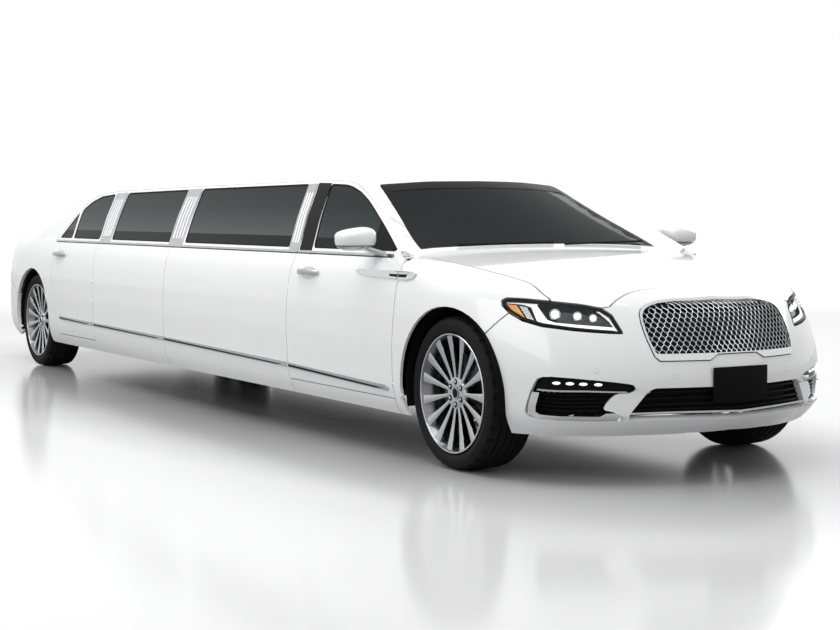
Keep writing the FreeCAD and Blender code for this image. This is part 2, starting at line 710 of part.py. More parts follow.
# ---- floor, bulkhead and frame pieces -----------------------------------------------------------
FLOOR_Z = 262.0
FLOOR_THICK = 30.0
REAR_FLOOR_Z = 480.0
RAIL_HALF = 35.0
RAIL_Z = 400.0
FIREWALL_X = FRONT_AXLE_X - 740.0
REAR_STEP_X = REAR_AXLE_X + ARCH_RADIUS + 5.0
LINER_THICK = 5.0
FRONT_LINER_Y = HALF_TRACK - 322.0
REAR_LINER_Y = HALF_TRACK - 192.0
RAIL_Y = FRONT_LINER_Y - 55.0
REAR_FLOOR_Y = REAR_LINER_Y - 40.0
LINER_OUT_Y = HALF_WIDTH - 40.0


def floor_pan():
    """The floor between the sills, stepped up over the rear axle, with the boot floor behind."""
    low = LOWER_THICK.common(
        box(REAR_STEP_X, FIREWALL_X, -HALF_WIDTH, HALF_WIDTH, FLOOR_Z, FLOOR_Z + FLOOR_THICK)
    )
    riser = box(
        REAR_STEP_X - 30.0, REAR_STEP_X, -REAR_FLOOR_Y, REAR_FLOOR_Y, FLOOR_Z, REAR_FLOOR_Z + FLOOR_THICK
    )
    high = box(
        TAIL_X + 190.0, REAR_STEP_X, -REAR_FLOOR_Y, REAR_FLOOR_Y, REAR_FLOOR_Z, REAR_FLOOR_Z + FLOOR_THICK
    )
    return fused([low, riser, high])


def bulkhead():
    """Firewall, cowl, screen pillars, hinge posts and the front rails, as one frame."""
    wall = box(FIREWALL_X, FIREWALL_X + 40.0, -CABIN_Y + 10.0, CABIN_Y - 10.0, FLOOR_Z, 950.0)
    cowl = box(FIREWALL_X, FRONT_DOOR_X + 46.0, -CABIN_Y, CABIN_Y, 922.0, 952.0)
    pieces = [wall, cowl]
    shell = UPPER.cut(UPPER_INSIDE).cut(SCREEN_SPACE)
    frame = shell.common(
        box(B_PILLAR_X + 160.0, FRONT_AXLE_X, -HALF_WIDTH, HALF_WIDTH, BELT_Z - 14.0, CANTRAIL_Z)
    )
    frame = frame.cut(FRONT_DOOR_SPACE).cut(mirrored(FRONT_DOOR_SPACE))
    pieces.append(frame.cut(box(B_PILLAR_X, FRONT_DOOR_X - 900.0, -HALF_WIDTH, HALF_WIDTH, 900.0, 1330.0)))
    full = box(FRONT_DOOR_X + 9.0, FRONT_DOOR_X + 46.0, -HALF_WIDTH, HALF_WIDTH, 922.0, 952.0)
    pieces.append(LOWER_THIN.common(full))
    for side in (1, -1):
        y0, y1 = sorted((side * (CABIN_Y - 60.0), side * (CABIN_Y + 62.0)))
        pieces.append(box(FRONT_DOOR_X + 9.0, FRONT_DOOR_X + 46.0, y0, y1, FLOOR_Z, 930.0))
        foot0, foot1 = sorted((side * (CABIN_Y - 60.0), side * (CABIN_Y - 10.0)))
        pieces.append(box(FIREWALL_X, FRONT_DOOR_X + 46.0, foot0, foot1, FLOOR_Z, FLOOR_Z + FLOOR_THICK))
        r0, r1 = sorted((side * (RAIL_Y - RAIL_HALF), side * (RAIL_Y + RAIL_HALF)))
        pieces.append(box(FIREWALL_X + 20.0, NOSE_X - 290.0, r0, r1, RAIL_Z, RAIL_Z + 80.0))
    beam_y = RAIL_Y + 145.0
    pieces.append(box(NOSE_X - 290.0, NOSE_X - 250.0, -beam_y, beam_y, RAIL_Z, RAIL_Z + 80.0))
    return largest(fused(pieces))


def wheel_liner(axle_x, inner_y, outer_y, window_z):
    """Right arch liner: an arched sheet with its inner wall, open where the arms pass."""
    outer = ARCH_RADIUS - SEAM
    arch = cylinder(outer, Vector(axle_x, -outer_y, TYRE_RADIUS), Vector(axle_x, -inner_y, TYRE_RADIUS))
    inner = outer - LINER_THICK
    hollow = cylinder(inner, Vector(axle_x, -outer_y - 1.0, TYRE_RADIUS), Vector(
        axle_x, -inner_y - LINER_THICK, TYRE_RADIUS
    ))
    liner = arch.cut(hollow)
    liner = liner.cut(box(axle_x - 500.0, axle_x + 500.0, -outer_y - 5.0, 0.0, 0.0, FLOOR_Z - 6.0))
    window = box(axle_x - 110.0, axle_x + 110.0, -inner_y - 10.0, 0.0, 0.0, window_z)
    return largest(liner.cut(window))


def rear_deck():
    """The panel between rear window and boot lid, with the parcel shelf inside."""
    ring = UPPER.cut(UPPER_INSIDE).cut(REAR_SPACE)
    ring = ring.common(box(REAR_AXLE_X - 560.0, REAR_AXLE_X, -300.0, 300.0, BELT_Z - 14.0, 1100.0))
    strip = LOWER.cut(LOWER_THIN).cut(UPPER).common(
        box(LID_FRONT_X + LID_GAP, REAR_AXLE_X - 250.0, -DECK_Y + 1.0, DECK_Y - 1.0, BELT_Z - 14.0, 1060.0)
    )
    shelf = box(REAR_AXLE_X - 440.0, REAR_AXLE_X + 90.0, -299.0, 299.0, BELT_Z - 14.0, BELT_Z + 4.0)
    wide = box(
        REAR_AXLE_X - 230.0, REAR_AXLE_X + 90.0, -DECK_Y + 22.0, DECK_Y - 22.0, BELT_Z - 14.0, BELT_Z + 4.0
    )
    return largest(fused([ring, largest(strip), shelf, wide]))


# ---- hinges of bonnet and boot lid --------------------------------------------------------------
LID_PIN = 3.0
LID_EYE = 6.0
LID_EYE_LONG = 30.0
LID_CLEAR = 5.5


def line_z(line, x):
    """Height of a body line at one place along the car."""
    (x0, z0), (x1, z1) = line
    return z0 + (z1 - z0) * (x - x0) / (x1 - x0)


BONNET_HINGE = (BONNET_REAR_X - 4.0, line_z(TOP_LINE[-2:], BONNET_REAR_X) + 2.0, HALF_WIDTH - 315.0)
BOOT_HINGE = (LID_FRONT_X + 4.0, line_z(DECK_LINE[:2], LID_FRONT_X) + 2.0, DECK_Y - 152.0)


def along_y(radius, x, z, y0, y1):
    """A round bar across the car."""
    return cylinder(radius, Vector(x, y0, z), Vector(x, y1, z))


def lid_hinge(place, moving, fixed, foot):
    """Joins a lid to its surround by an eye on a pin at each side, with room cut round both."""
    x, z, out = place
    half = LID_EYE_LONG / 2
    for side in (1, -1):
        y = side * out
        moving = moving.cut(along_y(LID_EYE + LID_CLEAR, x, z, y - half - 34.0, y - half - 0.1))
        moving = moving.cut(along_y(LID_EYE + LID_CLEAR, x, z, y + half + 0.1, y + half + 34.0))
        fixed = fixed.cut(along_y(LID_EYE + LID_CLEAR, x, z, y - half - 0.5, y + half + 0.5))
        eye = along_y(LID_EYE, x, z, y - half, y + half)
        tab = box(*sorted((x, x - foot * 14.0)), y - half, y + half, z - 14.0, z - 1.0)
        bore = along_y(LID_PIN + HINGE_PLAY, x, z, y - half - 1.0, y + half + 1.0)
        moving = moving.fuse(eye).fuse(tab).cut(bore)
        pin = along_y(LID_PIN, x, z, y - half - 10.0, y + half + 10.0)
        fixed = fixed.fuse(pin)
        for end in (1, -1):
            y0, y1 = sorted((y + end * (half + 0.5), y + end * (half + 28.0)))
            block = box(*sorted((x + 3.0 * foot, x + 16.0 * foot)), y0, y1, z - 40.0, z)
            fixed = fixed.fuse(along_y(LID_EYE, x, z, y0, y1)).fuse(block)
    return largest(moving), largest(fixed)


# ---- wheels and what carries them ---------------------------------------------------------------
SPINDLE_RADIUS = 27.0
PIN_RADIUS = 12.0
STUB_END = 46.0
CARRIER_HALF = 128.0
SPOKES = 15
HUB_RADIUS = SPINDLE_RADIUS + 47.0
DISC_RADIUS = RIM_RADIUS - 110.0
HALF_TYRE = TYRE_WIDTH / 2
BEAD_RADIUS = RIM_RADIUS - 11.7
# offset from the wheel's middle plane, radius
TYRE_PROFILE = [
    (-HALF_TYRE + 20.0, BEAD_RADIUS),
    (-HALF_TYRE + 16.0, BEAD_RADIUS + 0.7),
    (-HALF_TYRE + 16.0, RIM_RADIUS + 3.0),
    (-HALF_TYRE, RIM_RADIUS + 25.0),
    (-HALF_TYRE + 4.0, TYRE_RADIUS - 27.0),
    (-HALF_TYRE + 24.0, TYRE_RADIUS - 6.0),
    (-HALF_TYRE + 62.0, TYRE_RADIUS),
]
TYRE_CAVITY = [
    (HALF_TYRE - 60.0, TYRE_RADIUS - 14.0),
    (60.0 - HALF_TYRE, TYRE_RADIUS - 14.0),
    (20.5 - HALF_TYRE, TYRE_RADIUS - 30.0),
    (14.5 - HALF_TYRE, RIM_RADIUS + 25.0),
    (24.5 - HALF_TYRE, RIM_RADIUS + 5.0),
    (26.5 - HALF_TYRE, BEAD_RADIUS),
]
RIM_HALF = HALF_TYRE - 6.5
BARREL_IN = RIM_RADIUS - 37.0
BARREL_PROFILE = [
    (-RIM_HALF, RIM_RADIUS - 20.0),
    (-RIM_HALF, RIM_RADIUS - 1.0),
    (-RIM_HALF + 7.0, RIM_RADIUS - 1.0),
    (-RIM_HALF + 8.0, BEAD_RADIUS - 0.3),
    (-RIM_HALF + 44.0, BEAD_RADIUS - 0.3),
    (-RIM_HALF + 56.0, BARREL_IN + 8.0),
    (50.0, BARREL_IN + 8.0),
    (62.0, BEAD_RADIUS - 0.3),
    (RIM_HALF - 8.0, BEAD_RADIUS - 0.3),
    (RIM_HALF - 7.0, RIM_RADIUS - 1.0),
    (RIM_HALF, RIM_RADIUS),
    (RIM_HALF, RIM_RADIUS - 20.0),
    (60.0, BARREL_IN + 14.0),
    (50.0, BARREL_IN),
    (-60.0, BARREL_IN),
]


def ring_of(profile, axle_x):
    """A closed (offset, radius) outline turned about a right-hand wheel's axis."""
    corners = [Vector(axle_x, -HALF_TRACK - w, TYRE_RADIUS + r) for w, r in profile]
    face = Part.Face(Part.makePolygon(corners + corners[:1]))
    return face.revolve(Vector(axle_x, 0, TYRE_RADIUS), Vector(0, 1, 0), 360)


def tyre(axle_x):
    """A right-hand tyre, hollow, seated on the rim."""
    outer = TYRE_PROFILE + [(-w, r) for w, r in reversed(TYRE_PROFILE)]
    inner = [(-w, r) for w, r in TYRE_CAVITY if w < 0]
    inner = list(reversed(inner)) + TYRE_CAVITY[1:]
    return ring_of(outer + inner[:1] + inner[1:], axle_x)


def wheel(axle_x):
    """A right-hand wheel: barrel, slim spokes, hub and brake disc, turning on the spindle."""
    y = -HALF_TRACK
    barrel = ring_of(BARREL_PROFILE, axle_x)
    centre = Vector(axle_x, 0, TYRE_RADIUS)
    hub = cylinder(HUB_RADIUS, centre + Vector(0, y - 96.0, 0), centre + Vector(0, y - 14.0, 0))
    pieces = [barrel, hub]
    for i in range(SPOKES):
        tip = RIM_RADIUS - 21.0
        outline = [
            (HUB_RADIUS - 14.0, y - 92.0), (HUB_RADIUS - 14.0, y - 62.0), (tip, y - 84.0), (tip, y - 110.0)
        ]
        spoke = prism_xy(outline, -8.5, 8.5)
        spoke.rotate(Vector(0, 0, 0), Vector(0, 1, 0), 360.0 * i / SPOKES)
        spoke.translate(centre)
        pieces.append(spoke)
    disc = cylinder(DISC_RADIUS, centre + Vector(0, y - 12.0, 0), centre + Vector(0, y + 6.0, 0))
    bell = cylinder(82.0, centre + Vector(0, y - 30.0, 0), centre + Vector(0, y + 6.0, 0))
    pieces += [disc, bell]
    whole = fused(pieces)
    bore = cylinder(
        SPINDLE_RADIUS + FIT, centre + Vector(0, y - STUB_END - 4.0, 0), centre + Vector(0, y + 40.0, 0)
    )
    return largest(whole.cut(bore))


def hub_carrier(axle_x, pins):
    """A right-hand hub carrier with spindle and brake caliper, and pivot pins when it steers."""
    y = -HALF_TRACK
    centre = Vector(axle_x, 0, TYRE_RADIUS)
    low = TYRE_RADIUS - CARRIER_HALF
    high = TYRE_RADIUS + CARRIER_HALF
    plate = box(axle_x - 46.0, axle_x + 46.0, y + 18.0, y + 46.0, low, high)
    spindle = cylinder(
        SPINDLE_RADIUS, centre + Vector(0, y + 30.0, 0), centre + Vector(0, y - STUB_END, 0)
    )
    caliper = box(
        axle_x - 205.0, axle_x - 96.0, y - 24.0, y + 46.0, TYRE_RADIUS - 58.0, TYRE_RADIUS + 58.0
    )
    slot = cylinder(DISC_RADIUS + 6.0, centre + Vector(0, y - 17.0, 0), centre + Vector(0, y + 11.0, 0))
    arm = box(axle_x - 110.0, axle_x - 40.0, y + 20.0, y + 46.0, TYRE_RADIUS - 40.0, TYRE_RADIUS + 40.0)
    reach = cylinder(BARREL_IN - 25.0, centre + Vector(0, y - 30.0, 0), centre + Vector(0, y + 60.0, 0))
    pieces = [plate, spindle, caliper.cut(slot).common(reach), arm]
    if pins:
        pin_y = -KINGPIN_Y
        pieces.append(
            cylinder(PIN_RADIUS, Vector(axle_x, pin_y, low - 32.0), Vector(axle_x, pin_y, low + 4.0))
        )
        pieces.append(
            cylinder(PIN_RADIUS, Vector(axle_x, pin_y, high - 4.0), Vector(axle_x, pin_y, high + 32.0))
        )
    return largest(fused(pieces))


def front_subframe():
    """Cross member, towers and control arms whose eyes take the knuckle pins, and the steering rack."""
    x = FRONT_AXLE_X
    low_eye = TYRE_RADIUS - CARRIER_HALF - 30.0
    high_eye = TYRE_RADIUS + CARRIER_HALF + 4.0
    beam_y = RAIL_Y + RAIL_HALF
    beam = box(x - 70.0, x + 70.0, -beam_y, beam_y, 194.0, 240.0)
    pieces = [beam, cylinder(26.0, Vector(x - 66.0, -beam_y, 262.0), Vector(x - 66.0, beam_y, 262.0))]
    bores = []
    for side in (1, -1):
        inner = side * (RAIL_Y - RAIL_HALF)
        outer = side * (RAIL_Y + RAIL_HALF)
        y0, y1 = sorted((inner, outer))
        pieces.append(box(x - 40.0, x + 40.0, y0, y1, 236.0, RAIL_Z))
        pieces.append(box(x - 40.0, x + 40.0, y0, y1, RAIL_Z + 80.0, high_eye + 60.0))
        a0, a1 = sorted((side * (RAIL_Y + 20.0), side * KINGPIN_Y))
        pieces.append(box(x - 18.0, x + 18.0, a0, a1, low_eye, low_eye + 22.0))
        pieces.append(box(x - 16.0, x + 16.0, a0, a1, high_eye, high_eye + 22.0))
        for eye in (low_eye, high_eye):
            pieces.append(
                cylinder(18.0, Vector(x, side * KINGPIN_Y, eye), Vector(x, side * KINGPIN_Y, eye + 22.0))
            )
            bores.append(
                cylinder(PIN_RADIUS + FIT, Vector(x, side * KINGPIN_Y, eye - 5.0), Vector(
                    x, side * KINGPIN_Y, eye + 30.0
                ))
            )
    arms = pieces[0].multiFuse(pieces[1:])
    for bore in bores:
        arms = arms.cut(bore)
    return arms.Solids


def rear_subframe():
    """Rear cross member, differential case, arms and both fixed hub carriers."""
    x = REAR_AXLE_X
    beam_y = REAR_LINER_Y - 60.0
    pieces = [box(x - 70.0, x + 70.0, -beam_y, beam_y, 280.0, 330.0), box(
        x - 120.0, x + 120.0, -120.0, 120.0, 215.0, 340.0
    )]
    for side in (1, -1):
        y0, y1 = sorted((side * (beam_y - 240.0), side * (beam_y - 160.0)))
        pieces.append(box(x - 40.0, x + 40.0, y0, y1, 326.0, REAR_FLOOR_Z))
        a0, a1 = sorted((side * (beam_y - 20.0), side * (HALF_TRACK - 32.0)))
        pieces.append(box(x - 25.0, x + 25.0, a0, a1, 300.0, 326.0))
        carrier = hub_carrier(x, False)
        pieces.append(mirrored(carrier) if side > 0 else carrier)
    return largest(fused(pieces))


# ---- machinery seen from below ------------------------------------------------------------------
EXHAUST_Y = REAR_LINER_Y - 60.0


def engine_block():
    """The engine as one plain block between its mounts on the front rails."""
    x = FRONT_AXLE_X
    block = box(x - 600.0, x + 60.0, 115.0 - RAIL_Y, RAIL_Y - 115.0, 300.0, 780.0)
    mounts = box(
        x - 350.0, x - 270.0, -RAIL_Y + RAIL_HALF, RAIL_Y - RAIL_HALF, RAIL_Z + 10.0, RAIL_Z + 60.0
    )
    return fused([block, mounts])


def exhaust():
    """Two pipes under the floor with their silencers and hangers."""
    runs = []
    for side in (1, -1):
        y = side * EXHAUST_Y
        pipe = cylinder(26.0, Vector(FIREWALL_X - 700.0, y, 222.0), Vector(REAR_AXLE_X - 480.0, y, 222.0))
        y0, y1 = sorted((side * (EXHAUST_Y - 160.0), side * (EXHAUST_Y + 50.0)))
        silencer = box(TAIL_X + 350.0, REAR_AXLE_X - 470.0, y0, y1, 208.0, 340.0)
        tail = cylinder(34.0, Vector(TAIL_X + 360.0, y, 262.0), Vector(TAIL_X + 262.0, y, 262.0))
        pieces = [pipe, silencer, tail]
        for hanger_x in (FIREWALL_X - 900.0, 0.0, REAR_STEP_X + 300.0):
            pieces.append(box(hanger_x - 15.0, hanger_x + 15.0, y - 10.0, y + 10.0, 235.0, FLOOR_Z))
        strap_y0, strap_y1 = sorted((side * (EXHAUST_Y - 100.0), side * (EXHAUST_Y - 60.0)))
        pieces.append(box(TAIL_X + 380.0, TAIL_X + 410.0, strap_y0, strap_y1, 335.0, REAR_FLOOR_Z))
        runs.append(fused(pieces))
    return runs


def driveshaft():
    """The propeller shaft under the floor with its carrier blocks."""
    pieces = [
        cylinder(34.0, Vector(FIREWALL_X - 30.0, 0, 224.0), Vector(REAR_AXLE_X + 120.0 + FIT, 0, 224.0))
    ]
    for carrier_x in (FIREWALL_X - 150.0, B_PILLAR_X - 1200.0, REAR_STEP_X + 250.0):
        pieces.append(box(carrier_x - 25.0, carrier_x + 25.0, -60.0, 60.0, 200.0, FLOOR_Z))
    return fused(pieces)


# ---- cabin --------------------------------------------------------------------------------------
FLOOR_TOP = FLOOR_Z + FLOOR_THICK
PARTITION_X = B_PILLAR_X - 700.0
SEAT_Y = CABIN_Y - 430.0
SEAT_WIDE = 2 * SEAT_Y - 220.0


def seat(x, y, width, high, deep):
    """A forward-facing seat: base, cushion, leaning back and headrest as separate soft pieces."""
    base = box(
        x - deep, x, y - width / 2 + 40.0, y + width / 2 - 40.0, FLOOR_TOP, FLOOR_TOP + high - 130.0
    )
    cushion = box(
        x - deep, x + 20.0, y - width / 2, y + width / 2, FLOOR_TOP + high - 130.0, FLOOR_TOP + high
    )
    cushion = cushion.makeFillet(24.0, cushion.Edges)
    back = prism_xz(
        [
            (x - deep - 2.0, FLOOR_TOP + high - 120.0),
            (x - deep - 210.0, FLOOR_TOP + high + 520.0),
            (x - deep - 320.0, FLOOR_TOP + high + 500.0),
            (x - deep - 130.0, FLOOR_TOP + high - 125.0),
        ],
        y - width / 2,
        y + width / 2,
    )
    back = back.makeFillet(22.0, back.Edges)
    stay = box(x - deep - 110.0, x - deep + 10.0, y - 160.0, y + 160.0, FLOOR_TOP, FLOOR_TOP + high - 60.0)
    frame = fused([base, stay]).cut(cushion).cut(back)
    top = FLOOR_TOP + high + 500.0
    rest = box(x - deep - 315.0, x - deep - 225.0, y - 130.0, y + 130.0, top + 20.0, top + 190.0)
    stem = box(x - deep - 290.0, x - deep - 250.0, y - 70.0, y + 70.0, top - 30.0, top + 60.0)
    headrest = fused([rest.makeFillet(26.0, rest.Edges), stem]).cut(back)
    return [largest(frame), cushion, back, largest(headrest)]


def dashboard():
    """The dashboard across the car, with the steering wheel on its column."""
    body = prism_xz(
        [
            (FIREWALL_X - SEAM, 560.0),
            (FIREWALL_X - SEAM, 945.0),
            (FIREWALL_X - 120.0, 950.0),
            (FIREWALL_X - 330.0, 900.0),
            (FIREWALL_X - 300.0, 700.0),
            (FIREWALL_X - 180.0, 560.0),
        ],
        30.0 - CABIN_Y,
        CABIN_Y - 30.0,
    )
    hub = Vector(FIREWALL_X - 500.0, SEAT_Y, 905.0)
    along = Vector(math.cos(math.radians(24.0)), 0, -math.sin(math.radians(24.0)))
    column = cylinder(32.0, hub, hub + along * 260.0)
    rim = Part.makeTorus(182.0, 15.0, hub, along)
    boss = cylinder(62.0, hub - along * 12.0, hub + along * 18.0)
    pieces = [body, column, rim, boss]
    for turn in (90.0, 210.0, 330.0):
        arm = box(-9.0, 9.0, 0.0, 184.0, -16.0, 16.0)
        arm.rotate(Vector(0, 0, 0), Vector(1, 0, 0), turn)
        arm.rotate(Vector(0, 0, 0), Vector(0, 1, 0), 24.0)
        arm.translate(hub)
        pieces.append(arm)
    return largest(fused(pieces))


def partition():
    """The divider behind the front seats, with its opening, and the bar cabinet along the left wall."""
    wide = CABIN_Y - 20.0
    low = box(PARTITION_X - 40.0, PARTITION_X, -wide, wide, FLOOR_TOP, BELT_Z)
    high = box(PARTITION_X - 40.0, PARTITION_X, -wide, wide, BELT_Z, 1240.0).common(UPPER_INSIDE)
    wall = fused([low, high])
    opening = box(PARTITION_X - 60.0, PARTITION_X + 20.0, 320.0 - CABIN_Y, CABIN_Y - 320.0, 900.0, 1180.0)
    bar = box(REAR_STEP_X + 1100.0, PARTITION_X - 300.0, CABIN_Y - 240.0, CABIN_Y, FLOOR_TOP, 780.0)
    shelf = box(REAR_STEP_X + 1150.0, PARTITION_X - 350.0, CABIN_Y - 245.0, CABIN_Y - 30.0, 620.0, 740.0)
    return [wall.cut(opening), bar.cut(shelf)]


def side_bench():
    """The long bench along the right wall: plinth, cushion and back."""
    x0, x1 = REAR_STEP_X + 1000.0, PARTITION_X - 200.0
    plinth = box(x0 + 20.0, x1 - 20.0, -CABIN_Y, 400.0 - CABIN_Y, FLOOR_TOP, FLOOR_TOP + 240.0)
    cushion = box(x0, x1, -CABIN_Y, 440.0 - CABIN_Y, FLOOR_TOP + 240.5, FLOOR_TOP + 400.0)
    cushion = cushion.makeFillet(30.0, cushion.Edges)
    back = box(x0, x1, -CABIN_Y - 6.0, 100.0 - CABIN_Y, FLOOR_TOP + 400.5, FLOOR_TOP + 640.0)
    back = back.makeFillet(30.0, back.Edges)
    return [plinth, cushion, back]


def rear_bench():
    """The bench across the rear, ahead of the axle."""
    x1 = REAR_STEP_X + 700.0
    wide = CABIN_Y - 120.0
    plinth = box(REAR_STEP_X + 130.0, x1 - 40.0, 40.0 - wide, wide - 40.0, FLOOR_TOP, FLOOR_TOP + 220.0)
    cushion = box(REAR_STEP_X + 120.0, x1, -wide, wide, FLOOR_TOP + 220.5, FLOOR_TOP + 390.0)
    cushion = cushion.makeFillet(30.0, cushion.Edges)
    back = prism_xz(
        [
            (REAR_STEP_X + 118.0, FLOOR_TOP + 240.0),
            (REAR_STEP_X - 120.0, BELT_Z - 40.0),
            (REAR_STEP_X - 230.0, BELT_Z - 60.0),
            (REAR_STEP_X + 1.0, FLOOR_TOP + 235.0),
        ],
        120.0 - wide,
        wide - 120.0,
    )
    foot = box(
        REAR_STEP_X + 1.0, REAR_STEP_X + 100.0, 180.0 - wide, wide - 180.0, FLOOR_TOP, FLOOR_TOP + 300.0
    )
    back = back.makeFillet(24.0, back.Edges)
    return [fused([plinth, foot]).cut(back).cut(cushion), cushion, back]


def fuel_tank():
    """The fuel tank under the floor."""
    tank = box(REAR_STEP_X + 60.0, REAR_STEP_X + 620.0, 60.0 - EXHAUST_Y, -100.0, 188.0, FLOOR_Z)
    return tank.makeFillet(20.0, [e for e in tank.Edges if e.BoundBox.ZMax < FLOOR_Z - 1.0])


def both(shape):
    """A right-hand piece and its mirror image."""
    return [shape, mirrored(shape)]


if __name__ == "__main__":
    os.makedirs(OUT, exist_ok=True)
    write("body_sides", *both(with_pins(body_side(), "rear")))
    write("roof_panel", roof_panel())
    write("front_fenders", *both(with_pins(front_fender(), "front")))
    write("front_bumper", front_bumper())
    write("rear_bumper", rear_bumper())
    lid, deck = lid_hinge(BOOT_HINGE, boot_lid(), rear_deck(), 1.0)
    write("rear_deck", deck)
    write("boot_lid", lid)
    write("floor_pan", floor_pan())
    hood, wall = lid_hinge(BONNET_HINGE, bonnet(), bulkhead(), -1.0)
    write("bulkhead", wall)
    write("bonnet", hood)
    grilles = [grille_insert(GRILLE_OUTLINE, 10.0, 10.0), grille_insert(INTAKE_OUTLINE, 10.0, 10.0)]
    fog = grille_insert([(-y, z) for y, z in FOG_OUTLINE], 10.0, 10.0)
    write("grille", *grilles, *both(fog))
    write("headlamps", *both(headlamp()))
    write("tail_lamps", *both(tail_lamp()))
    fixed = both(pane(LONG_WINDOW)) + both(pane(MIDDLE_WINDOW))
    fixed.append(screen_pane(SCREEN_OUTLINE, FRONT_AXLE_X - 1500.0, FRONT_AXLE_X - 300.0))
    fixed.append(screen_pane(REAR_OUTLINE, REAR_AXLE_X - 600.0, REAR_AXLE_X + 620.0))
    write("fixed_glass", *fixed)
    liner = wheel_liner(FRONT_AXLE_X, FRONT_LINER_Y, LINER_OUT_Y, 540.0)
    rear_liner = wheel_liner(REAR_AXLE_X, REAR_LINER_Y, LINER_OUT_Y, 360.0)
    write("wheel_liners", *both(liner), *both(rear_liner))
    write("front_subframe", *front_subframe())
    write("rear_subframe", rear_subframe())
    write("engine_block", engine_block())
    write("exhaust", *exhaust())
    write("driveshaft", driveshaft())
    write("fuel_tank", fuel_tank())
    write("dashboard", dashboard())
    seats = seat(B_PILLAR_X + 130.0, -SEAT_Y, SEAT_WIDE, 330.0, 440.0)
    write("front_seats", *[piece for one in seats for piece in both(one)])
    write("partition", *partition())
    write("cabin_benches", *side_bench(), *rear_bench())

    doors = {
        "front": (FRONT_DOOR_FRONT, FRONT_DOOR_REAR, [FRONT_WINDOW]),
        "rear": (REAR_DOOR_FRONT, REAR_DOOR_REAR, [REAR_WINDOW_SIDE, QUARTER_LIGHT]),
    }
    for end, (front_line, rear_line, windows) in doors.items():
        name = end + "_door"
        leaf = door(end, front_line, rear_line, windows)
        glass = [pane(outline) for outline in windows]
        write(name + "_right", leaf)
        write(name + "_left", mirrored(leaf))
        write(name + "_glass_right", *glass)
        write(name + "_glass_left", *[mirrored(one) for one in glass])
    write("door_mirror_right", door_mirror())
    write("door_mirror_left", mirrored(door_mirror()))

    knuckle = hub_carrier(FRONT_AXLE_X, True)
    write("front_knuckle_right", knuckle)
    write("front_knuckle_left", mirrored(knuckle))
    for end, axle_x in (("front", FRONT_AXLE_X), ("rear", REAR_AXLE_X)):
        rubber = tyre(axle_x)
        metal = wheel(axle_x)
        write(end + "_tyre_right", rubber)
        write(end + "_tyre_left", mirrored(rubber))
        write(end + "_wheel_right", metal)
        write(end + "_wheel_left", mirrored(metal))
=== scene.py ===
import math

import bmesh
import bpy
import numpy as np
from mathutils import Matrix, Vector


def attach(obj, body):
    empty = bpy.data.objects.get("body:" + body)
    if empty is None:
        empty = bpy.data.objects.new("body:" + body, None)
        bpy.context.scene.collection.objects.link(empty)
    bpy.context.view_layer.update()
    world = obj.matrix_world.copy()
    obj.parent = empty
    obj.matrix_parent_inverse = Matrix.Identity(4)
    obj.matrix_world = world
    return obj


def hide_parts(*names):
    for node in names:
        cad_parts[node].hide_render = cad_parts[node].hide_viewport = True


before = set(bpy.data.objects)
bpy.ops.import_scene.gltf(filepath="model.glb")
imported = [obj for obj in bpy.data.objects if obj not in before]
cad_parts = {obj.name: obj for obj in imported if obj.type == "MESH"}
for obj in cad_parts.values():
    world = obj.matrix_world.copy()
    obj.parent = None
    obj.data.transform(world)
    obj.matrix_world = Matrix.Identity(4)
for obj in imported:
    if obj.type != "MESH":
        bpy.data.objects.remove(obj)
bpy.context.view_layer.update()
print("frame loaded")

# The body's outer form: a few smooth faces whose shared edges are rounded.
form = {
    "side": [(0.205, 0.900), (0.262, 0.931), (0.345, 0.949), (0.56, 0.955), (0.70, 0.951),
             (0.80, 0.943), (0.885, 0.927), (0.945, 0.899), (0.965, 0.886)],
    "glassSide": [(0.940, 0.899), (0.965, 0.884), (1.15, 0.776), (1.335, 0.650), (1.46, 0.560)],
    "bonnetLine": [(2.50, 1.012), (2.755, 0.984), (3.10, 0.948), (3.50, 0.893), (3.79, 0.826),
                   (3.95, 0.768), (4.10, 0.742)],
    "deckLine": [(-4.12, 0.938), (-4.02, 0.968), (-3.692, 1.006), (-3.182, 1.028), (-2.40, 1.060)],
    "tailFace": [(0.205, 0.095), (0.262, 0.030), (0.345, 0.006), (0.56, 0.0), (0.70, 0.008),
                 (0.80, 0.022), (0.885, 0.045), (0.955, 0.075), (1.05, 0.14)],
    "noseEnd": 4.078, "tailEnd": -4.078, "roofTop": 1.452, "axleZ": 0.352,
}


def softLine(points, width):
    # a polyline rounded by averaging over width, straight beyond its ends
    xs, ys = (np.array(row) for row in zip(*points))
    slopes = (ys[1] - ys[0]) / (xs[1] - xs[0]), (ys[-1] - ys[-2]) / (xs[-1] - xs[-2])
    xs = np.concatenate([[xs[0] - 1.0], xs, [xs[-1] + 1.0]])
    ys = np.concatenate([[ys[0] - slopes[0]], ys, [ys[-1] + slopes[1]]])
    fine = np.linspace(xs[0], xs[-1], 4001)
    step = fine[1] - fine[0]
    window = np.hanning(max(3, int(width / step)) + 2)[1:-1]
    raw = np.interp(fine, xs, ys)
    pad = len(window)
    wide = np.concatenate([raw[0] - (raw[1] - raw[0]) * np.arange(pad, 0, -1), raw,
                           raw[-1] + (raw[-1] - raw[-2]) * np.arange(1, pad + 1)])
    soft = np.convolve(wide, window / window.sum(), "same")[pad:-pad]
    return lambda t: np.interp(t, fine, soft)


sideLine = softLine(form["side"], 0.09)
glassLine = softLine(form["glassSide"], 0.10)
bonnetLine = softLine(form["bonnetLine"], 0.30)
deckLine = softLine(form["deckLine"], 0.30)
tailFace = softLine(form["tailFace"], 0.09)


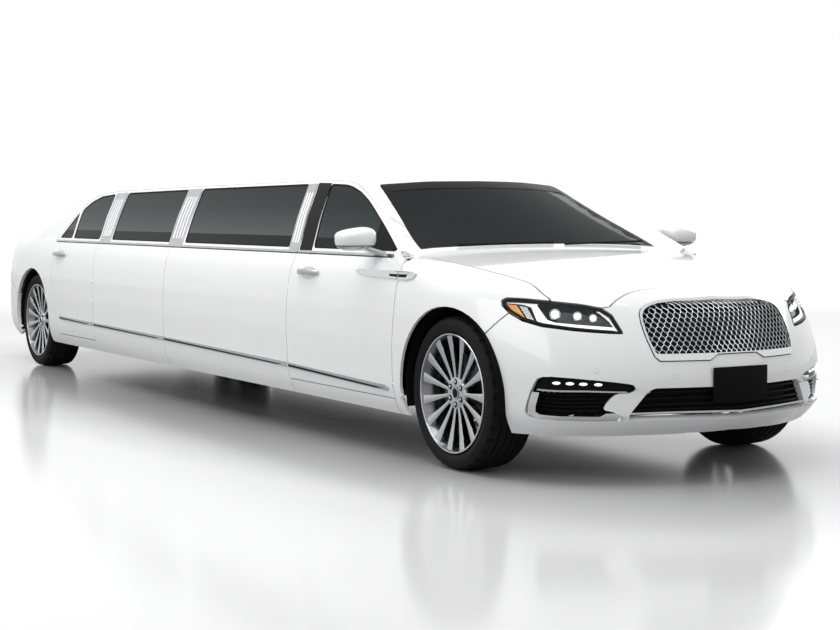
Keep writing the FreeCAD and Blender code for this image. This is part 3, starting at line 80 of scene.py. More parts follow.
def rounded(a, aRadius, b, bRadius):
    # the rounded edge of two faces, and how much of b it holds
    u = np.maximum(1 + a / aRadius, 1e-6) ** 2.2
    v = np.maximum(1 + b / bRadius, 1e-6) ** 2.2
    share = v / (u + v)
    return ((u + v) ** (1 / 2.2) - 1) * (aRadius * (1 - share) + bRadius * share), share


def ease(t):
    t = np.clip(t, 0, 1)
    return t * t * (3 - 2 * t)


def cabinSide(x, y, z):
    return np.abs(y) - sideLine(z)


def noseBody(x, y, z):
    face = form["noseEnd"] - np.maximum(0, z - 0.45) ** 1.7 - 2 * np.maximum(0,
                                                                             0.30 - z) ** 1.3 - 0.55 * y * y
    around, share = rounded(np.abs(y) - sideLine(z), 0.22, x - face, 0.50)
    crown = z - bonnetLine(x) + 0.045 * y * y
    k = ease((x - 2.7) / 0.5)
    whole, _ = rounded(around, (0.05 + 0.15 * k) * (1 - share) + 0.06 * share, crown,
                       (0.03 + 0.09 * k) * (1 - share) + 0.05 * share)
    return whole


def tailBody(x, y, z):
    face = form["tailEnd"] + tailFace(z) + 0.39 * y * y
    around, share = rounded(np.abs(y) - sideLine(z), 0.20, face - x, 0.55)
    crown = z - deckLine(x) + 0.05 * y * y
    k = ease((-2.9 - x) / 0.6)
    whole, _ = rounded(around, (0.05 + 0.12 * k) * (1 - share) + 0.05 * share, crown,
                       (0.03 + 0.07 * k) * (1 - share) + 0.04 * share)
    return whole


def greenhouse(x, y, z):
    up = z - 0.94
    pillar = np.maximum(0, np.abs(y) - 0.72 + 0.45 * (z - 0.97))
    screen = x - (2.75 - 1.949 * up - (0.10 + 0.89 * up) * (y * y - 40 * pillar * pillar))
    rear = (-3.392 + 1.899 * up + (0.37 + 0.58 * up) * y * y) - x
    ends = np.maximum(screen, rear) / 2.1
    top = form["roofTop"] - 0.047 * (np.maximum(0, x - 1.0) / 0.76) ** 1.6
    top = top - 0.047 * (np.maximum(0, -1.09 - x) / 1.18) ** 1.6
    around, share = rounded((np.abs(y) - glassLine(z)) * 0.85, 0.05, ends, 0.03)
    whole, _ = rounded(around, 0.12 - 0.02 * share, z - top + 0.10 * y * y, 0.07)
    return whole


def strike(surface, start, aim):
    # walks each ray out from inside the body to the surface
    near = np.full(len(start), 0.02)
    far = np.full(len(start), 1.7)
    for _ in range(32):
        mid = (near + far) / 2
        out = surface(*(start + aim * mid[:, None]).T) > 0
        far = np.where(out, mid, far)
        near = np.where(out, near, mid)
    return start + aim * near[:, None]


def outward(surface, points):
    step = 1e-3
    slope = np.stack([surface(*(points + shift).T) - surface(*(points - shift).T)
                      for shift in np.eye(3) * step], axis=1)
    return slope / np.linalg.norm(slope, axis=1)[:, None]


# Each chart unrolls a surface to a flat sheet: place() gives a point's two coordinates, rays() the way back.
chartSizes = {"core": 0.45, "spread": 0.65, "lidHeart": (-3.55, 0.60), "lidSpread": 0.5}


def sideChart(surface=cabinSide, inset=None):
    def place(p):
        return p[:, [0, 2]]

    def rays(uv):
        zero = np.zeros(len(uv))
        start = zero if inset is None else 0.05 - inset(uv[:, 1])
        return np.stack([uv[:, 0], start, uv[:, 1]], 1), np.stack([zero, zero - 1, zero], 1)
    return surface, place, rays


def sectionChart(surface):
    core, spread = chartSizes["core"], chartSizes["spread"]

    def place(p):
        return np.stack([p[:, 0], np.arctan2(p[:, 1], p[:, 2] - core) * spread], 1)

    def rays(uv):
        zero = np.zeros(len(uv))
        turn = uv[:, 1] / spread
        return np.stack([uv[:, 0], zero, zero + core], 1), np.stack([zero, np.sin(turn), np.cos(turn)], 1)
    return surface, place, rays


def endChart(surface, heart):
    # heart is the x of an upright line; the angle runs from the way the car's end faces
    spread, way = chartSizes["spread"], 1 if heart > 0 else -1

    def place(p):
        return np.stack([np.arctan2(p[:, 1], (p[:, 0] - heart) * way) * spread, p[:, 2]], 1)

    def rays(uv):
        zero = np.zeros(len(uv))
        turn = uv[:, 0] / spread
        return np.stack([zero + heart, zero, uv[:, 1]], 1), np.stack([np.cos(turn) * way, np.sin(turn), zero],
                                                                     1)
    return surface, place, rays


def lidChart(surface):
    heart, spread = chartSizes["lidHeart"], chartSizes["lidSpread"]

    def place(p):
        return np.stack([p[:, 1], np.arctan2(p[:, 2] - heart[1], heart[0] - p[:, 0]) * spread], 1)

    def rays(uv):
        zero = np.zeros(len(uv))
        turn = uv[:, 1] / spread
        return (np.stack([zero + heart[0], uv[:, 0], zero + heart[1]], 1), np.stack([-np.cos(turn), zero,
                                                                                     np.sin(turn)], 1))
    return surface, place, rays


def topChart(surface):
    def place(p):
        return p[:, [0, 1]]

    def rays(uv):
        zero = np.zeros(len(uv))
        return np.stack([uv[:, 0], uv[:, 1], zero + 0.5], 1), np.stack([zero, zero, zero + 1], 1)
    return surface, place, rays


def onto(chart, uv):
    surface, _, rays = chart
    return strike(surface, *rays(np.array(uv, float)))


def ballChart(surface, heart):
    # rays from one point: azimuth from the way the car's end faces, and elevation
    spread, way = chartSizes["spread"], 1 if heart[0] > 0 else -1

    def place(p):
        d = p - np.array(heart)
        across = np.hypot(d[:, 0], d[:, 1])
        return np.stack([np.arctan2(d[:, 1], d[:, 0] * way), np.arctan2(d[:, 2], across)], 1) * spread

    def rays(uv):
        turn, rise = uv[:, 0] / spread, uv[:, 1] / spread
        aim = np.stack([np.cos(turn) * np.cos(rise) * way, np.sin(turn) * np.cos(rise), np.sin(rise)], 1)
        return np.zeros((len(uv), 3)) + np.array(heart), aim
    return surface, place, rays


def curve(points, steps=6, closed=False):
    # a smooth line through the points
    p = np.array(points, float)
    if closed:
        p = np.concatenate([p[-1:], p, p[:2]])
    else:
        p = np.concatenate([2 * p[:1] - p[1:2], p, 2 * p[-1:] - p[-2:-1]])
    t = np.linspace(0, 1, steps, endpoint=False)[:, None]
    runs = []
    for a, b, c, d in zip(p, p[1:], p[2:], p[3:]):
        runs.append(0.5 * (2 * b + (c - a) * t + (2 * a - 5 * b + 4 * c - d) * t ** 2
                           + (3 * b - a - 3 * c + d) * t ** 3))
    line = np.concatenate(runs)
    return line if closed else np.concatenate([line, p[-2:-1]])


def softened(points, radius, steps=5):
    # a closed outline with each corner rounded; radius is one number or one for each corner
    p = np.array(points, float)
    sizes = radius if isinstance(radius, (list, tuple)) else [radius] * len(p)
    line = []
    for before, corner, after, size in zip(np.roll(p, 1, 0), p, np.roll(p, -1, 0), sizes):
        if size <= 0:
            line.append(corner)
            continue
        back, ahead = before - corner, after - corner
        start = corner + back * min(size / np.linalg.norm(back), 0.48)
        end = corner + ahead * min(size / np.linalg.norm(ahead), 0.48)
        for t in np.linspace(0, 1, steps):
            line.append(start * (1 - t) ** 2 + 2 * corner * t * (1 - t) + end * t * t)
    return np.array(line)


def filled(line, longest=0.08):
    # the same closed line with points no further apart than longest
    line = np.array(line)
    parts = []
    for a, b in zip(line, np.roll(line, -1, 0)):
        count = max(1, int(np.ceil(np.linalg.norm(b - a) / longest)))
        parts.append(a + (b - a) * (np.arange(count) / count)[:, None])
    return np.concatenate(parts)


def shrunk(loop, gap):
    # a closed flat outline moved inwards by gap
    loop = np.array(loop)[:, :2]
    loop = loop[np.linalg.norm(loop - np.roll(loop, 1, 0), axis=1) > 1e-6]
    if not gap:
        return loop
    before, after = loop - np.roll(loop, 1, 0), np.roll(loop, -1, 0) - loop
    before /= np.linalg.norm(before, axis=1)[:, None]
    after /= np.linalg.norm(after, axis=1)[:, None]
    nextLoop = np.roll(loop, -1, 0)
    way = np.sign((loop[:, 0] * nextLoop[:, 1] - loop[:, 1] * nextLoop[:, 0]).sum())
    sides = [np.stack([-d[:, 1], d[:, 0]], 1) for d in (before, after)]
    middle = (sides[0] + sides[1]) / np.maximum(0.35, 1 + (sides[0] * sides[1]).sum(1))[:, None]
    moved = loop + way * gap * middle
    for _ in range(6):
        # a short edge that turned back on itself is folded to one point
        edge, was = np.roll(moved, -1, 0) - moved, np.roll(loop, -1, 0) - loop
        back = (edge * was).sum(1) <= 0
        if not back.any():
            break
        moved[back] = (moved[back] + np.roll(moved, -1, 0)[back]) / 2
        keep = ~np.roll(back, 1)
        moved, loop = moved[keep], loop[keep]
    return moved


def asObject(name, bm):
    mesh = bpy.data.meshes.new(name)
    bm.to_mesh(mesh)
    bm.free()
    thing = bpy.data.objects.new(name, mesh)
    bpy.context.scene.collection.objects.link(thing)
    return thing


def evaluated(thing):
    # the object's mesh with its modifiers applied, as a new bmesh; the object goes
    bpy.context.view_layer.update()
    mesh = bpy.data.meshes.new_from_object(thing.evaluated_get(bpy.context.evaluated_depsgraph_get()))
    bm = bmesh.new()
    bm.from_mesh(mesh)
    bpy.data.meshes.remove(mesh)
    old = thing.data
    bpy.data.objects.remove(thing)
    bpy.data.meshes.remove(old)
    return bm


def prism(loops, low, high):
    bm = bmesh.new()
    for loop in loops:
        face = bm.faces.new([bm.verts.new((u, v, low)) for u, v in loop])
        raised = bmesh.ops.extrude_face_region(bm, geom=[face])["geom"]
        lifted = [v for v in raised if isinstance(v, bmesh.types.BMVert)]
        bmesh.ops.translate(bm, vec=(0, 0, high - low), verts=lifted)
    bmesh.ops.recalc_face_normals(bm, faces=bm.faces)
    return bm


def trimmed(loop, holes, cell):
    # a flat grid trimmed to an outline, less its holes
    cell = np.array(cell)
    low, high = loop.min(0) - cell * 0.53, loop.max(0) + cell * 0.61
    counts = np.maximum(2, np.ceil((high - low) / cell)).astype(int)
    bm = bmesh.new()
    bmesh.ops.create_grid(bm, x_segments=int(counts[0]), y_segments=int(counts[1]), size=0.5)
    bmesh.ops.scale(bm, vec=(high[0] - low[0], high[1] - low[1], 1), verts=bm.verts)
    bmesh.ops.translate(bm, vec=((high[0] + low[0]) / 2, (high[1] + low[1]) / 2, 0), verts=bm.verts)
    blank = asObject("blank", bm)
    slab = blank.modifiers.new("slab", "SOLIDIFY")
    slab.thickness = 0.2
    cutters = []
    for loops, how in (([loop], "INTERSECT"), (holes, "DIFFERENCE")):
        if len(loops):
            cutters.append(asObject("cutter", prism(loops, -0.3, 0.1)))
            cut = blank.modifiers.new(how, "BOOLEAN")
            cut.operation = how
            cut.object = cutters[-1]
    bm = evaluated(blank)
    for cutter in cutters:
        bpy.data.objects.remove(cutter)
    rest = [f for f in bm.faces if min(v.co.z for v in f.verts) < -1e-4]
    bmesh.ops.delete(bm, geom=rest, context="FACES")
    bmesh.ops.remove_doubles(bm, verts=bm.verts, dist=3e-4)
    return bm


def sheet(chart, outline, holes=(), cell=(0.05, 0.025), gap=0.0, holeGap=0.0, lift=0.0, both=False):
    # one layer of curved skin inside an outline of points in space, facing outwards
    surface, place, rays = chart
    loop = shrunk(place(np.array(outline)), gap)
    cuts = [shrunk(place(np.array(hole)), -holeGap) for hole in holes]
    bm = trimmed(loop, cuts, cell)
    flat = np.array([v.co[:2] for v in bm.verts])
    start, aim = rays(flat)
    points = strike(surface, start, aim)
    if lift:
        points = points + outward(surface, points) * lift
    for v, p in zip(bm.verts, points):
        v.co = p
    bmesh.ops.triangulate(bm, faces=[f for f in bm.faces if len(f.verts) > 4])
    bm.normal_update()
    facing = sum(f.normal.dot(Vector(aim[f.verts[0].index])) * f.calc_area() for f in bm.faces)
    if facing < 0:
        bmesh.ops.reverse_faces(bm, faces=bm.faces)
    return twinned(bm) if both else bm


def patch(chart, line, holes=(), **more):
    # a sheet whose outline is given flat on its chart
    return sheet(chart, onto(chart, filled(line)), holes, **more)


def twinned(bm):
    # adds the left half of a piece made on the right
    twin = bmesh.ops.duplicate(bm, geom=bm.verts[:] + bm.edges[:] + bm.faces[:])["geom"]
    bmesh.ops.scale(bm, vec=(1, -1, 1), verts=[g for g in twin if isinstance(g, bmesh.types.BMVert)])
    bmesh.ops.reverse_faces(bm, faces=[g for g in twin if isinstance(g, bmesh.types.BMFace)])
    return bm


def joined(*parts):
    bm = bmesh.new()
    for part in parts:
        mesh = bpy.data.meshes.new("part")
        part.to_mesh(mesh)
        part.free()
        bm.from_mesh(mesh)
        bpy.data.meshes.remove(mesh)
    return bm


def piece(name, bm, finish, body="shell", wall=0.0, sharp=38, soft=0, left=False, stands=()):
    # finishes a mesh as a piece: its wall and shading, what carries it and which nodes it stands for
    if left:
        bmesh.ops.scale(bm, vec=(1, -1, 1), verts=bm.verts)
        bmesh.ops.reverse_faces(bm, faces=bm.faces)
    thing = asObject(name, bm)
    if wall:
        shell = thing.modifiers.new("wall", "SOLIDIFY")
        shell.thickness = wall
        shell.offset = -1
        shell.use_even_offset = False
    if soft:
        smooth = thing.modifiers.new("soft", "SUBSURF")
        smooth.levels = smooth.render_levels = soft
    thing = asObject(name, evaluated(thing))
    thing.name = name
    for face in thing.data.polygons:
        face.use_smooth = True
    thing.data.set_sharp_from_angle(angle=math.radians(sharp))
    thing.data.materials.append(finish)
    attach(thing, body)
    if stands:
        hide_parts(*stands)
    return thing


def block(size, centre):
    bm = bmesh.new()
    bmesh.ops.create_cube(bm, size=1.0)
    bmesh.ops.scale(bm, vec=size, verts=bm.verts)
    bmesh.ops.translate(bm, vec=centre, verts=bm.verts)
    return bm


def slicedBar(axis, cuts):
    # a unit cube cut across one axis, ready to be bent
    bm = bmesh.new()
    bmesh.ops.create_cube(bm, size=1.0)
    along = [e for e in bm.edges if abs((e.verts[0].co - e.verts[1].co)[axis]) > 0.5]
    bmesh.ops.subdivide_edges(bm, edges=along, cuts=cuts)
    return bm


def eased(bm, width):
    bmesh.ops.bevel(bm, geom=bm.edges[:], offset=width, segments=2, affect="EDGES", profile=0.5, material=-1)
    return bm


def turned(profile, axis="Y", steps=64, close=False, centre=(0, 0, 0)):
    # a lathe shape: profile pairs are (distance along the axis, radius)
    bm = bmesh.new()
    ring = [bm.verts.new((0, along, radius)) for along, radius in profile]
    edges = [bm.edges.new(pair) for pair in zip(ring, ring[1:])]
    if close:
        edges.append(bm.edges.new((ring[-1], ring[0])))
    bmesh.ops.spin(bm, geom=ring + edges, cent=(0, 0, 0), axis=(0, 1, 0), angle=math.tau, steps=steps,
                   use_merge=True)
    bmesh.ops.remove_doubles(bm, verts=bm.verts, dist=1e-5)
    bmesh.ops.recalc_face_normals(bm, faces=bm.faces)
    if axis == "X":
        bmesh.ops.rotate(bm, cent=(0, 0, 0), matrix=Matrix.Rotation(-math.pi / 2, 3, "Z"), verts=bm.verts)
    bmesh.ops.translate(bm, vec=centre, verts=bm.verts)
    return bm


def tube(points, radius, sides=8):
    # a bar along a line
    line = bpy.data.curves.new("line", "CURVE")
    line.dimensions = "3D"
    spline = line.splines.new("POLY")
    spline.points.add(len(points) - 1)
    for spot, p in zip(spline.points, points):
        spot.co = (*p, 1)
    line.bevel_depth = radius
    line.bevel_resolution = max(1, sides // 4)
    line.use_fill_caps = True
    thing = bpy.data.objects.new("line", line)
    bpy.context.scene.collection.objects.link(thing)
    bpy.context.view_layer.update()
    mesh = bpy.data.meshes.new_from_object(thing.evaluated_get(bpy.context.evaluated_depsgraph_get()))
    bm = bmesh.new()
    bm.from_mesh(mesh)
    bpy.data.meshes.remove(mesh)
    bpy.data.objects.remove(thing)
    bpy.data.curves.remove(line)
    bmesh.ops.remove_doubles(bm, verts=bm.verts, dist=1e-5)
    bmesh.ops.recalc_face_normals(bm, faces=bm.faces)
    return bm


# Shader maths: a wire is one socket's value, and sums on it add Math nodes.
class Wire:
    def __init__(self, tree, socket):
        self.tree = tree
        self.socket = socket

    def sum(self, how, first, second):
        node = self.tree.nodes.new("ShaderNodeMath")
        node.operation = how
        for slot, value in zip(node.inputs, (first, second)):
            if isinstance(value, Wire):
                self.tree.links.new(value.socket, slot)
            else:
                slot.default_value = value
        return Wire(self.tree, node.outputs[0])

    def __add__(self, other):
        return self.sum("ADD", self, other)

    def __radd__(self, other):
        return self.sum("ADD", other, self)

    def __sub__(self, other):
        return self.sum("SUBTRACT", self, other)

    def __rsub__(self, other):
        return self.sum("SUBTRACT", other, self)

    def __mul__(self, other):
        return self.sum("MULTIPLY", self, other)

    def __rmul__(self, other):
        return self.sum("MULTIPLY", other, self)

    def __truediv__(self, other):
        return self.sum("DIVIDE", self, other)

    def __pow__(self, other):
        return self.sum("POWER", self, other)

    def clipped(self):
        return self.sum("MINIMUM", self.sum("MAXIMUM", self, 0.0), 1.0)


class Finish:
    def __init__(self, name):
        self.material = bpy.data.materials.new(name)
        self.material.use_nodes = True
        self.tree = self.material.node_tree
        self.shader = self.tree.nodes["Principled BSDF"]
        self.objectPlace = self.node("ShaderNodeTexCoord", out="Object")

    def node(self, kind, settings={}, inputs={}, out=0):
        node = self.tree.nodes.new(kind)
        for key, value in settings.items():
            if key == "stops":
                ramp = node.color_ramp
                while len(ramp.elements) < len(value):
                    ramp.elements.new(0.5)
                for stop, (at, shade) in zip(ramp.elements, value):
                    stop.position = at
                    stop.color = (*shade, 1) if len(shade) == 3 else shade
            else:
                setattr(node, key, value)
        for key, value in inputs.items():
            if isinstance(value, Wire):
                self.tree.links.new(value.socket, node.inputs[key])
            else:
                node.inputs[key].default_value = value
        return Wire(self.tree, node.outputs[out])

    def set(self, **values):
        for key, value in values.items():
            socket = self.shader.inputs[key.replace("_", " ")]
            if isinstance(value, Wire):
                self.tree.links.new(value.socket, socket)
            elif isinstance(value, tuple) and len(value) == 3 and socket.type == "RGBA":
                socket.default_value = (*value, 1)
            else:
                socket.default_value = value
        return self

    def noise(self, scale, detail=3.0):
        return self.node("ShaderNodeTexNoise", inputs={"Vector": self.objectPlace, "Scale": scale,
                                                       "Detail": detail})

    def axes(self):
        split = self.node("ShaderNodeSeparateXYZ", inputs={"Vector": self.objectPlace})
        node = split.socket.node
        return [Wire(self.tree, socket) for socket in node.outputs]

    def mix(self, amount, one, two):
        node = self.tree.nodes.new("ShaderNodeMix")
        node.data_type = "RGBA"
        for slot, value in ((0, amount), (6, one), (7, two)):
            if isinstance(value, tuple):
                value = (*value, 1)
            if isinstance(value, Wire):
                self.tree.links.new(value.socket, node.inputs[slot])
            else:
                node.inputs[slot].default_value = value
        return Wire(self.tree, node.outputs[2])

    def bump(self, height, strength=0.2, depth=0.001):
        return self.node("ShaderNodeBump", inputs={"Height": height, "Strength": strength, "Distance": depth})


def plain(name, dark, light, rough=(0.3, 0.4), scale=40.0, bumpScale=None, bump=0.1, depth=0.0005, **more):
    # a finish whose colour and gloss drift a little between two values
    f = Finish(name)
    drift = f.noise(scale)
    f.set(Base_Color=f.mix(drift, dark, light), Roughness=drift * (rough[1] - rough[0]) + rough[0])
    if bumpScale:
        f.set(Normal=f.bump(f.noise(bumpScale, 2.0), bump, depth))
    for key, value in more.items():
        f.set(**{key: value})
    return f.material


shades = {
    "paintDark": (0.83, 0.835, 0.84), "paintLight": (0.87, 0.872, 0.875),
    "rubber": ((0.010, 0.010, 0.011), (0.018, 0.018, 0.019)),
    "black": ((0.006, 0.006, 0.0065), (0.010, 0.010, 0.0105)),
    "glassFront": (0.008, 0.012, 0.012), "glassSide": (0.006, 0.0065, 0.007),
}

bodyPaint = plain("bodyPaint", shades["paintDark"], shades["paintLight"], rough=(0.22, 0.26), scale=3.0,
                  bumpScale=900.0, bump=0.02, depth=0.0002, Coat_Weight=0.8, Coat_Roughness=0.03)
chrome = plain("chromeTrim", (0.40, 0.41, 0.42), (0.60, 0.61, 0.62), rough=(0.06, 0.12), scale=25.0,
               Metallic=1.0)
satinChrome = plain("satinTrim", (0.42, 0.43, 0.44), (0.52, 0.53, 0.54), rough=(0.16, 0.24), scale=60.0,
                    Metallic=1.0)
blackGloss = plain("blackGloss", *shades["black"], rough=(0.10, 0.16), scale=30.0, Specular_IOR_Level=0.03)
blackPlastic = plain("blackPlastic", (0.010, 0.010, 0.011), (0.018, 0.018, 0.019), rough=(0.42, 0.55),
                     scale=50.0, bumpScale=1400.0, bump=0.25, depth=0.0003, Specular_IOR_Level=0.03)
linerPlastic = plain("linerPlastic", (0.006, 0.006, 0.0065), (0.012, 0.012, 0.0125), rough=(0.7, 0.85),
                     scale=20.0, bumpScale=300.0, bump=0.4, depth=0.001, Specular_IOR_Level=0.02)
castIron = plain("castIron", (0.10, 0.10, 0.105), (0.17, 0.17, 0.175), rough=(0.5, 0.65), scale=30.0,
                 bumpScale=260.0, bump=0.4, depth=0.0008, Metallic=0.8)
brushedSteel = plain("brushedSteel", (0.34, 0.34, 0.35), (0.48, 0.48, 0.49), rough=(0.28, 0.4), scale=70.0,
                     Metallic=1.0)
rubberBlack = plain("rubberSeal", *shades["rubber"], rough=(0.5, 0.65), scale=60.0, Specular_IOR_Level=0.03)
lampChrome = plain("lampChrome", (0.55, 0.56, 0.58), (0.75, 0.76, 0.78), rough=(0.06, 0.14), scale=90.0,
                   Metallic=1.0)
lampWhite = plain("lampBand", (0.86, 0.87, 0.88), (0.92, 0.93, 0.94), rough=(0.15, 0.25), scale=80.0,
                  Emission_Color=(0.95, 0.97, 1.0), Emission_Strength=0.45)
lampGlow = plain("lampLens", (0.80, 0.84, 0.90), (0.90, 0.93, 0.97), rough=(0.03, 0.08), scale=60.0,
                 Emission_Color=(0.88, 0.93, 1.0), Emission_Strength=0.9)
amber = plain("amberLens", (0.62, 0.20, 0.02), (0.85, 0.36, 0.06), rough=(0.08, 0.2), scale=60.0,
              Emission_Color=(0.9, 0.35, 0.05), Emission_Strength=0.12)
tailRed = plain("tailRed", (0.30, 0.008, 0.014), (0.46, 0.02, 0.03), rough=(0.05, 0.12), scale=40.0,
                Coat_Weight=0.6, Emission_Color=(0.8, 0.03, 0.04), Emission_Strength=0.08)
cabinTrim = plain("cabinTrim", (0.020, 0.020, 0.021), (0.035, 0.034, 0.034), rough=(0.5, 0.65), scale=45.0,
                  bumpScale=500.0, bump=0.35, depth=0.0006)
headliner = plain("headliner", (0.42, 0.41, 0.39), (0.50, 0.49, 0.47), rough=(0.8, 0.95), scale=120.0,
                  bumpScale=900.0, bump=0.5, depth=0.0005)
carpet = plain("carpet", (0.018, 0.018, 0.020), (0.040, 0.040, 0.042), rough=(0.9, 1.0), scale=160.0,
               bumpScale=420.0, bump=0.8, depth=0.003)
walnut = plain("walnut", (0.06, 0.026, 0.012), (0.13, 0.06, 0.028), rough=(0.12, 0.2), scale=9.0,
               Coat_Weight=0.7)
mirrorGlass = plain("mirrorGlass", (0.80, 0.82, 0.84), (0.86, 0.88, 0.90), rough=(0.01, 0.03), scale=10.0,
                    Metallic=1.0)


def seatLeather():
    f = Finish("seatLeather")
    grain = f.node("ShaderNodeTexVoronoi", {"feature": "F1"}, {"Vector": f.objectPlace, "Scale": 260.0},
                   "Distance")
    drift = f.noise(9.0)
    f.set(Base_Color=f.mix(drift, (0.022, 0.021, 0.021), (0.042, 0.040, 0.039)),
          Roughness=drift * 0.15 + 0.38, Normal=f.bump(grain * 0.7 + f.noise(60.0) * 0.5, 0.35, 0.0012),
          Sheen_Weight=0.1)
    return f.material


def tintedGlass(name, tint, alpha, band=None):
    f = Finish(name)
    height = f.axes()[2]
    drift = f.noise(1.5)
    colour = f.mix(drift, tint, tuple(c * 1.25 for c in tint))
    if band:
        # a painted reflection: a soft bright field that starts above a dark lower band and fades upwards
        rise = (height - band["edge"]) / band["height"]
        paintedReflectionMask = f.node("ShaderNodeValToRGB", {"stops": [(0.0, (0, 0, 0)), (0.012, (1, 1, 1)),
                                                        (0.5, (0.28, 0.28, 0.28)),
                                                        (1.0, (0.06, 0.06, 0.06))]},
                       {"Fac": rise})
        colour = f.mix(paintedReflectionMask, colour, band["glow"])
    f.set(Base_Color=colour, Roughness=drift * 0.02 + 0.015, Alpha=drift * 0.02 + alpha,
          Specular_IOR_Level=0.04)
    return f.material


def lensClear():
    f = Finish("lensClear")
    drift = f.noise(20.0)
    f.set(Base_Color=f.mix(drift, (0.75, 0.78, 0.80), (0.85, 0.87, 0.88)), Roughness=drift * 0.03 + 0.02,
          Alpha=drift * 0.01 + 0.012, Specular_IOR_Level=0.08)
    return f.material


def tyreRubber():
    f = Finish("tyreRubber")
    drift = f.noise(30.0)
    f.set(Base_Color=f.mix(drift, (0.010, 0.010, 0.0105), (0.020, 0.020, 0.021)), Roughness=drift * 0.2 + 0.5,
          Specular_IOR_Level=0.06, Normal=f.bump(f.noise(500.0), 0.3, 0.0006))
    return f.material


def wheelAlloy():
    f = Finish("wheelAlloy")
    drift = f.noise(55.0)
    f.set(Base_Color=f.mix(drift, (0.40, 0.405, 0.41), (0.54, 0.545, 0.55)), Roughness=drift * 0.10 + 0.12,
          Metallic=1.0)
    return f.material


leather = seatLeather()
# the rim's barrel and flange: the wheel's alloy made darker, as painted shade inside the wheel
rimPaintedShade = plain("rimPaintedShade", (0.16, 0.16, 0.165), (0.26, 0.26, 0.265), rough=(0.2, 0.35), scale=30.0,
                 Metallic=1.0)
smokedChrome = plain("smokedChrome", (0.015, 0.016, 0.017), (0.10, 0.104, 0.11), rough=(0.08, 0.2),
                     scale=70.0, Metallic=1.0)
meshChrome = plain("meshChrome", (0.55, 0.56, 0.57), (0.75, 0.76, 0.77), rough=(0.12, 0.2), scale=120.0,
                   Metallic=1.0)
# the door handles' recesses: not cut in, a flat grey oval on the door as painted shade
cupPaintedShade = plain("cupPaintedShade", (0.50, 0.505, 0.51), (0.66, 0.665, 0.67), rough=(0.2, 0.3), scale=60.0,
                 Coat_Weight=0.5)
blackPlate = plain("blackPlate", (0.006, 0.006, 0.006), (0.010, 0.010, 0.010), rough=(0.40, 0.50), scale=30.0,
                   Specular_IOR_Level=0.03)
tailGlow = plain("tailGlow", (0.55, 0.02, 0.03), (0.75, 0.05, 0.06), rough=(0.05, 0.12), scale=40.0,
                 Emission_Color=(0.9, 0.05, 0.05), Emission_Strength=0.25)
# painted reflections on the side windows: where the bright field starts, how tall it is, and its colour
# (glow)
privacyReflection = {"edge": 1.045, "height": 0.30, "glow": (0.075, 0.078, 0.081)}
frontReflection = {"edge": 1.04, "height": 0.30, "glow": (0.045, 0.058, 0.056)}
rearGlass = tintedGlass("rearWindowGlass", shades["glassSide"], 0.94)
brightTrim = plain("frameTrim", (0.80, 0.805, 0.81), (0.86, 0.862, 0.865), rough=(0.12, 0.18), scale=8.0,
                   Coat_Weight=0.6)
privacyGlass = tintedGlass("privacyGlass", shades["glassSide"], 0.955, privacyReflection)
frontGlass = tintedGlass("frontGlass", shades["glassFront"], 0.80, frontReflection)
screenGlass = tintedGlass("screenGlass", shades["glassFront"], 0.72)
clearLens = lensClear()
tyreSkin = tyreRubber()
alloy = wheelAlloy()
print("finishes ready")


bothSides = (("right", False), ("left", True))
# Shut lines as x, z on the side of the body and x, |y| on its top.
shut = {
    "gap": 0.0028, "sill": 0.207, "doorFoot": 0.285, "belt": 0.957, "arch": 0.397, "archRound": 44,
    "doorFront": [(2.685, 0.285), (2.683, 0.50), (2.700, 0.75), (2.713, 0.90), (2.711, 0.957)],
    "doorRear": [(1.550, 0.285), (1.538, 0.60), (1.545, 0.80), (1.554, 0.957)],
    "backDoorFront": [(-1.516, 0.285), (-1.522, 0.60), (-1.540, 0.85), (-1.550, 0.957)],
    "backDoorRear": [(-2.272, 0.285), (-2.332, 0.43), (-2.412, 0.64), (-2.452, 0.86), (-2.482, 0.957)],
    "middle": -0.217, "frontAxle": 3.150, "rearAxle": -2.892,
    "bonnetSide": [(2.757, 0.772), (3.15, 0.750), (3.365, 0.735), (3.50, 0.730), (3.59, 0.722),
                   (3.637, 0.706)],
    "bonnetNose": [(3.797, -0.503, 0.767), (3.788, -0.455, 0.795), (3.770, -0.38, 0.818),
                   (3.744, -0.293, 0.832), (3.722, -0.13, 0.841), (3.718, 0.0, 0.843)],
}
# The head lamp and tail lamp outlines as degrees round the car's end, and z.
lampRim = [(85.6, 0.788), (84.4, 0.799), (78, 0.797), (71, 0.789), (61.3, 0.776), (54.5, 0.761),
           (50.4, 0.732), (48.2, 0.697), (46.2, 0.664), (46.0, 0.655), (49.7, 0.656), (56, 0.661),
           (62.2, 0.668), (70.8, 0.683), (77.1, 0.705), (82.0, 0.737), (85.0, 0.768)]
tailRim = [(79.5, 0.880), (78, 0.894), (70, 0.900), (58, 0.902), (54.5, 0.895), (53.8, 0.86), (53.8, 0.77),
           (54.8, 0.742), (60, 0.738), (66, 0.750), (72, 0.80), (76, 0.84)]

rearSlot = [(-0.62, 0.33), (-0.52, 0.39), (0.52, 0.39), (0.62, 0.33), (0.60, 0.26), (-0.60, 0.26)]

side = sideChart()
houseSide = sideChart(greenhouse, glassLine)
noseSide = sideChart(noseBody)
tailSide = sideChart(tailBody)
noseSection = sectionChart(noseBody)
tailSection = sectionChart(tailBody)
roofSection = sectionChart(greenhouse)
nose = ballChart(noseBody, (3.40, 0.0, 0.55))
tail = ballChart(tailBody, (-3.50, 0.0, 0.58))
noseTurn = endChart(noseBody, 3.4)
tailTurn = endChart(tailBody, -3.5)


def aroundNose(points):
    return onto(noseTurn, [(-math.radians(turn) * chartSizes["spread"], z) for turn, z in points])


